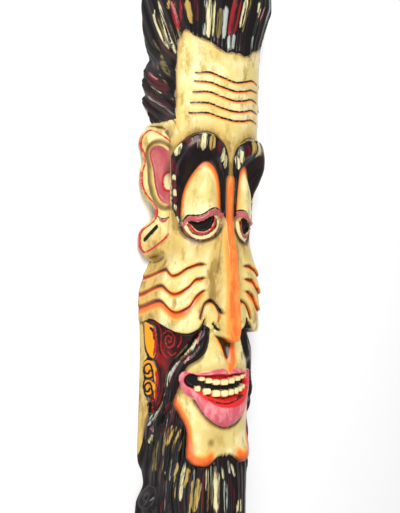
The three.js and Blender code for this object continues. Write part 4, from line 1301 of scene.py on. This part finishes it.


# cream skin with blotches of grime, an old brown wash round the raised parts that is partly painted shade,
# orange round the lines, and painted shade in its hollows and under its edges
def skinTone(kit, n):
    p, smear = paints, n["smear"]
    skin = kit.mix(p["cream"], p["creamLight"], kit.remap(n["blotch"], 0.42, 0.62))
    skin = kit.mix(skin, p["creamDark"], kit.remap(smear, 0.46, 0.68) * 0.7)
    skin = kit.mix(skin, p["grimeAndShade"], kit.remap(smear * 0.6 + n["blotch"] * 0.4, 0.53, 0.68) * 0.6)
    skin = kit.mix(skin, p["grimeAndShade"], kit.remap(n["fine"] * 0.6 + smear * 0.4, 0.57, 0.66) * 0.5)
    # brown wash round the raised parts and down the sides, partly painted shade
    washAndShadeShare = kit.attribute("washAndShade") * (0.5 + n["blotch"])
    skin = kit.mix(skin, p["washAndShadeBrown"], kit.remap(washAndShadeShare, 0.1, 1.1) * 0.75)
    # darker grime where the wash is, partly painted shade
    skin = kit.mix(skin, p["grimeAndShade"], kit.remap(washAndShadeShare * smear, 0.42, 0.62) * 0.55)
    lit = kit.attribute("glow") * (0.75 + smear * 0.5)
    skin = kit.mix(skin, p["orangePale"], kit.remap(lit, 0.05, 0.5) * 0.9)
    skin = kit.mix(skin, p["orange"], kit.remap(lit, 0.34, 0.85) * 0.92)
    skin = kit.mix(skin, p["rust"], kit.remap(lit, 0.85, 1.25) * 0.7)
    skin = kit.mix(skin, p["rust"], kit.inside("foldRed", 0.0, 1.0) * 0.8)
    stripe = kit.mix(p["orange"], p["orangePale"], kit.remap(smear, 0.42, 0.66) * 0.55)
    skin = kit.mix(skin, stripe, kit.inside("stripe", 0.0, 1.4) * 0.93)
    # painted shade in the hollows of the carving
    skin = kit.mix(skin, p["shadeBrown"], kit.remap(n["cavity"], 0.12, 0.9) * 0.75)
    # painted shade in the folds and under the edges, from the shade field
    shade = kit.attribute("shade") * (0.6 + smear * 0.8)
    skin = kit.mix(skin, p["umber"], kit.remap(shade, 0.12, 0.7) * 0.7)
    return kit.mix(skin, p["shadeBrown"], kit.remap(shade, 0.5, 1.3) * 0.9)


# dark red panels with ochre and red scrolls, and the plain strip at the mask's side
def addScrolls(kit, n, skin):
    p, smear = paints, n["smear"]
    panel = kit.mix(p["panel"], p["panelRed"], kit.remap(smear, 0.5, 0.7) * 0.35)
    panel = kit.mix(panel, p["panelRed"], kit.attribute("panelGlow") * kit.remap(smear, 0.3, 0.65))
    ochre = kit.mix(p["ochre"], p["ochreDark"], kit.remap(smear, 0.45, 0.7) * 0.6)
    ochre = kit.mix(p["black"], ochre, kit.inside("ochre"))
    tone = skin
    for paint, region in ((panel, "panel"), (ochre, "ochreArea"), (skin, "strip"),
                          (p["scrollRed"], "scrollRed"), (p["black"], "scrollInk")):
        tone = kit.mix(tone, paint, kit.inside(region))
    return tone


# near-black hair with brushed strands of colour, and the same on the brows
def addHair(kit, n, tone):
    p, streak = paints, n["streak"]
    hair = kit.mix(p["black"], p["slate"], kit.remap(streak, 0.62, 0.8) * 0.3)
    reddish = kit.remap(n["broad"], 0.56, 0.7) * kit.remap(streak, 0.42, 0.6) * 0.5
    hair = kit.mix(hair, strokePaints["maroon"], reddish)
    # painted highlight of grey on the rings of each beard curl
    hair = kit.mix(hair, p["slate"], kit.inside("curlHighlight") * 0.5)
    # the strokes break up along the brush streaks and thin out in the hollows, as painted shade there
    brushedAndShaded = kit.remap(streak - n["cavity"] * 0.14, 0.4, 0.53)
    for name, paint in strokePaints.items():
        share = kit.remap(kit.attribute(name) + (streak - 0.5) * 9.0, 0.8, -0.8)
        hair = kit.mix(hair, paint, share * brushedAndShaded * 0.96)
    tone = kit.mix(tone, hair, kit.inside("hair", 0.3))
    brow = kit.mix(hair, p["slate"], kit.remap(n["smear"], 0.5, 0.8) * 0.3)
    return kit.mix(tone, brow, kit.inside("brow", 0.2))


# mouth, eyes, ears and the drawn lines
def addFeatures(kit, n, tone):
    p, mottled = paints, kit.remap(n["smear"], 0.44, 0.66) * 0.7
    tone = kit.mix(tone, kit.mix(p["lip"], p["lipPale"], mottled), kit.inside("lips"))
    tone = kit.mix(tone, p["gum"], kit.inside("gum", 0.0, 1.2))
    tone = kit.mix(tone, kit.mix(p["lidPink"], p["lidPinkPale"], mottled), kit.inside("rosy"))
    tone = kit.mix(tone, p["creamLight"], kit.inside("creamArc") * 0.9)
    tone = kit.mix(tone, p["redLine"], kit.inside("redLine"))
    tone = kit.mix(tone, p["black"], kit.inside("dark"))
    tone = kit.mix(tone, p["tooth"], kit.inside("teeth", 0.0, 0.8))
    tone = kit.mix(tone, p["black"], kit.inside("ink"))
    tone = kit.mix(tone, p["foldLine"], kit.inside("foldLine"))
    # painted shade in the deepest hollows, and the painted shade of the folds and edges again over the pink
    tone = kit.mix(tone, p["shadeBrown"], kit.remap(n["cavity"], 0.4, 1.5) * 0.6)
    shade = kit.remap(kit.attribute("shade") * (0.6 + n["smear"] * 0.8), 0.3, 1.1)
    return kit.mix(tone, p["shadeBrown"], shade * kit.inside("rosy") * 0.8)


def paintedWood():
    material = bpy.data.materials.new("paintedWood")
    material.use_nodes = True
    kit = Kit(material)
    shader = next(node for node in kit.nodes if node.type == "BSDF_PRINCIPLED")
    f = finish
    n = patternsOf(kit)
    smear, grain = n["smear"], n["grain"]
    tone = addScrolls(kit, n, skinTone(kit, n))
    tone = addFeatures(kit, n, addHair(kit, n, tone))

    # bare wood in the hollow and on the sawn back
    behind = kit.remap(kit.attribute("bare"), 0.4, 0.9)
    wood = kit.mix(paints["wood"], paints["woodDark"], kit.remap(grain, 0.38, 0.66))
    tone = kit.mix(tone, wood, behind)

    inHair = kit.remap(kit.attribute("hair"), 1.0, -1.0)
    bumps = n["streak"] * inHair * 0.8 + smear * 0.25 + grain * behind * 0.6
    inputs = {"Strength": 0.5, "Distance": f["brushBump"], "Height": bumps}
    sockets = {
        "Base Color": tone,
        "Roughness": f["gloss"] + (smear - 0.5) * f["glossSpread"] + behind * 0.4 + kit.inside("dark") * 0.4,
        "Normal": kit.node("ShaderNodeBump", {}, inputs, "Normal"),
        "Coat Weight": (1 - behind) * f["coat"]}
    for name, value in sockets.items():
        kit.tree.links.new(value.socket, shader.inputs[name])
    shader.inputs["Coat Roughness"].default_value = 0.14
    shader.inputs["Specular IOR Level"].default_value = 0.2
    return material


# camera of the photograph: it looks at the face from its own right, 1250 mm away
photographCamera = {
    "turn": 38.0,
    "nod": -1.3,
    "roll": 1.5,
    "distance": 1250.0,
    "shiftRight": -14.0,
    "shiftUp": 1.0,
    "millimetresPerPixel": 1.43,
    "imageHeight": 513,
    "sensor": 36.0,
}


def addCamera():
    c = photographCamera
    turn, nod, roll = np.radians([c["turn"], c["nod"], c["roll"]])
    right = Vector((np.cos(turn), 0, np.sin(turn)))
    out = Vector((-np.sin(turn), 0, np.cos(turn)))
    up = Vector((0, 1, 0))
    nodded = out * np.cos(nod) + up * np.sin(nod)
    lifted = up * np.cos(nod) - out * np.sin(nod)
    across = right * np.cos(roll) + lifted * np.sin(roll)
    upwards = lifted * np.cos(roll) - right * np.sin(roll)
    eye = nodded * c["distance"] - across * c["shiftRight"] - upwards * c["shiftUp"]
    data = bpy.data.cameras.new("photographCamera")
    data.sensor_fit = "VERTICAL"
    data.sensor_height = c["sensor"]
    data.lens = c["distance"] / c["millimetresPerPixel"] / c["imageHeight"] * c["sensor"]
    data.clip_start = 0.05
    data.clip_end = 50
    camera = bpy.data.objects.new("photographCamera", data)
    axes = Matrix((across, upwards, nodded)).transposed().to_4x4()
    camera.matrix_world = Matrix.Translation(eye * millimetre) @ axes
    bpy.context.scene.collection.objects.link(camera)
    bpy.context.scene.camera = camera


studio = {
    "floorSize": 12.0,
    "world": 0.46,
    "keyPower": 48.0,
    "keySize": 1.0,
    "keyPlace": (-1.0, 1.0, 1.9),
    "fillPower": 14.0,
    "fillSize": 1.4,
    "fillPlace": (-1.3, -1.1, 1.5),
}


def addLight(name, power, size, place):
    data = bpy.data.lights.new(name, "AREA")
    data.energy = power
    data.size = size
    lamp = bpy.data.objects.new(name, data)
    lamp.location = place
    lamp.rotation_euler = Vector(place).to_track_quat("Z", "Y").to_euler()
    bpy.context.scene.collection.objects.link(lamp)
    return lamp


def addStudio():
    s = studio
    mesh = bmesh.new()
    bmesh.ops.create_grid(mesh, x_segments=1, y_segments=1, size=s["floorSize"] / 2)
    data = bpy.data.meshes.new("floor")
    mesh.to_mesh(data)
    mesh.free()
    floor = bpy.data.objects.new("floor", data)
    pale = bpy.data.materials.new("paleFloor")
    pale.use_nodes = True
    shader = next(node for node in pale.node_tree.nodes if node.type == "BSDF_PRINCIPLED")
    shader.inputs["Base Color"].default_value = (0.93, 0.93, 0.93, 1)
    shader.inputs["Roughness"].default_value = 0.9
    data.materials.append(pale)
    bpy.context.scene.collection.objects.link(floor)
    world = bpy.data.worlds.new("paleRoom")
    world.use_nodes = True
    ground = next(node for node in world.node_tree.nodes if node.type == "BACKGROUND")
    ground.inputs["Color"].default_value = (1, 1, 1, 1)
    ground.inputs["Strength"].default_value = s["world"]
    bpy.context.scene.world = world
    lamps = [addLight("keyLight", s["keyPower"], s["keySize"], s["keyPlace"]),
             addLight("fillLight", s["fillPower"], s["fillSize"], s["fillPlace"])]
    bpy.context.scene.view_settings.view_transform = "Standard"


mask = addMask()
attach(mask, "root")
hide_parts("mask")
print("mask in place")
addCamera()
addStudio()
print("camera and studio in place")
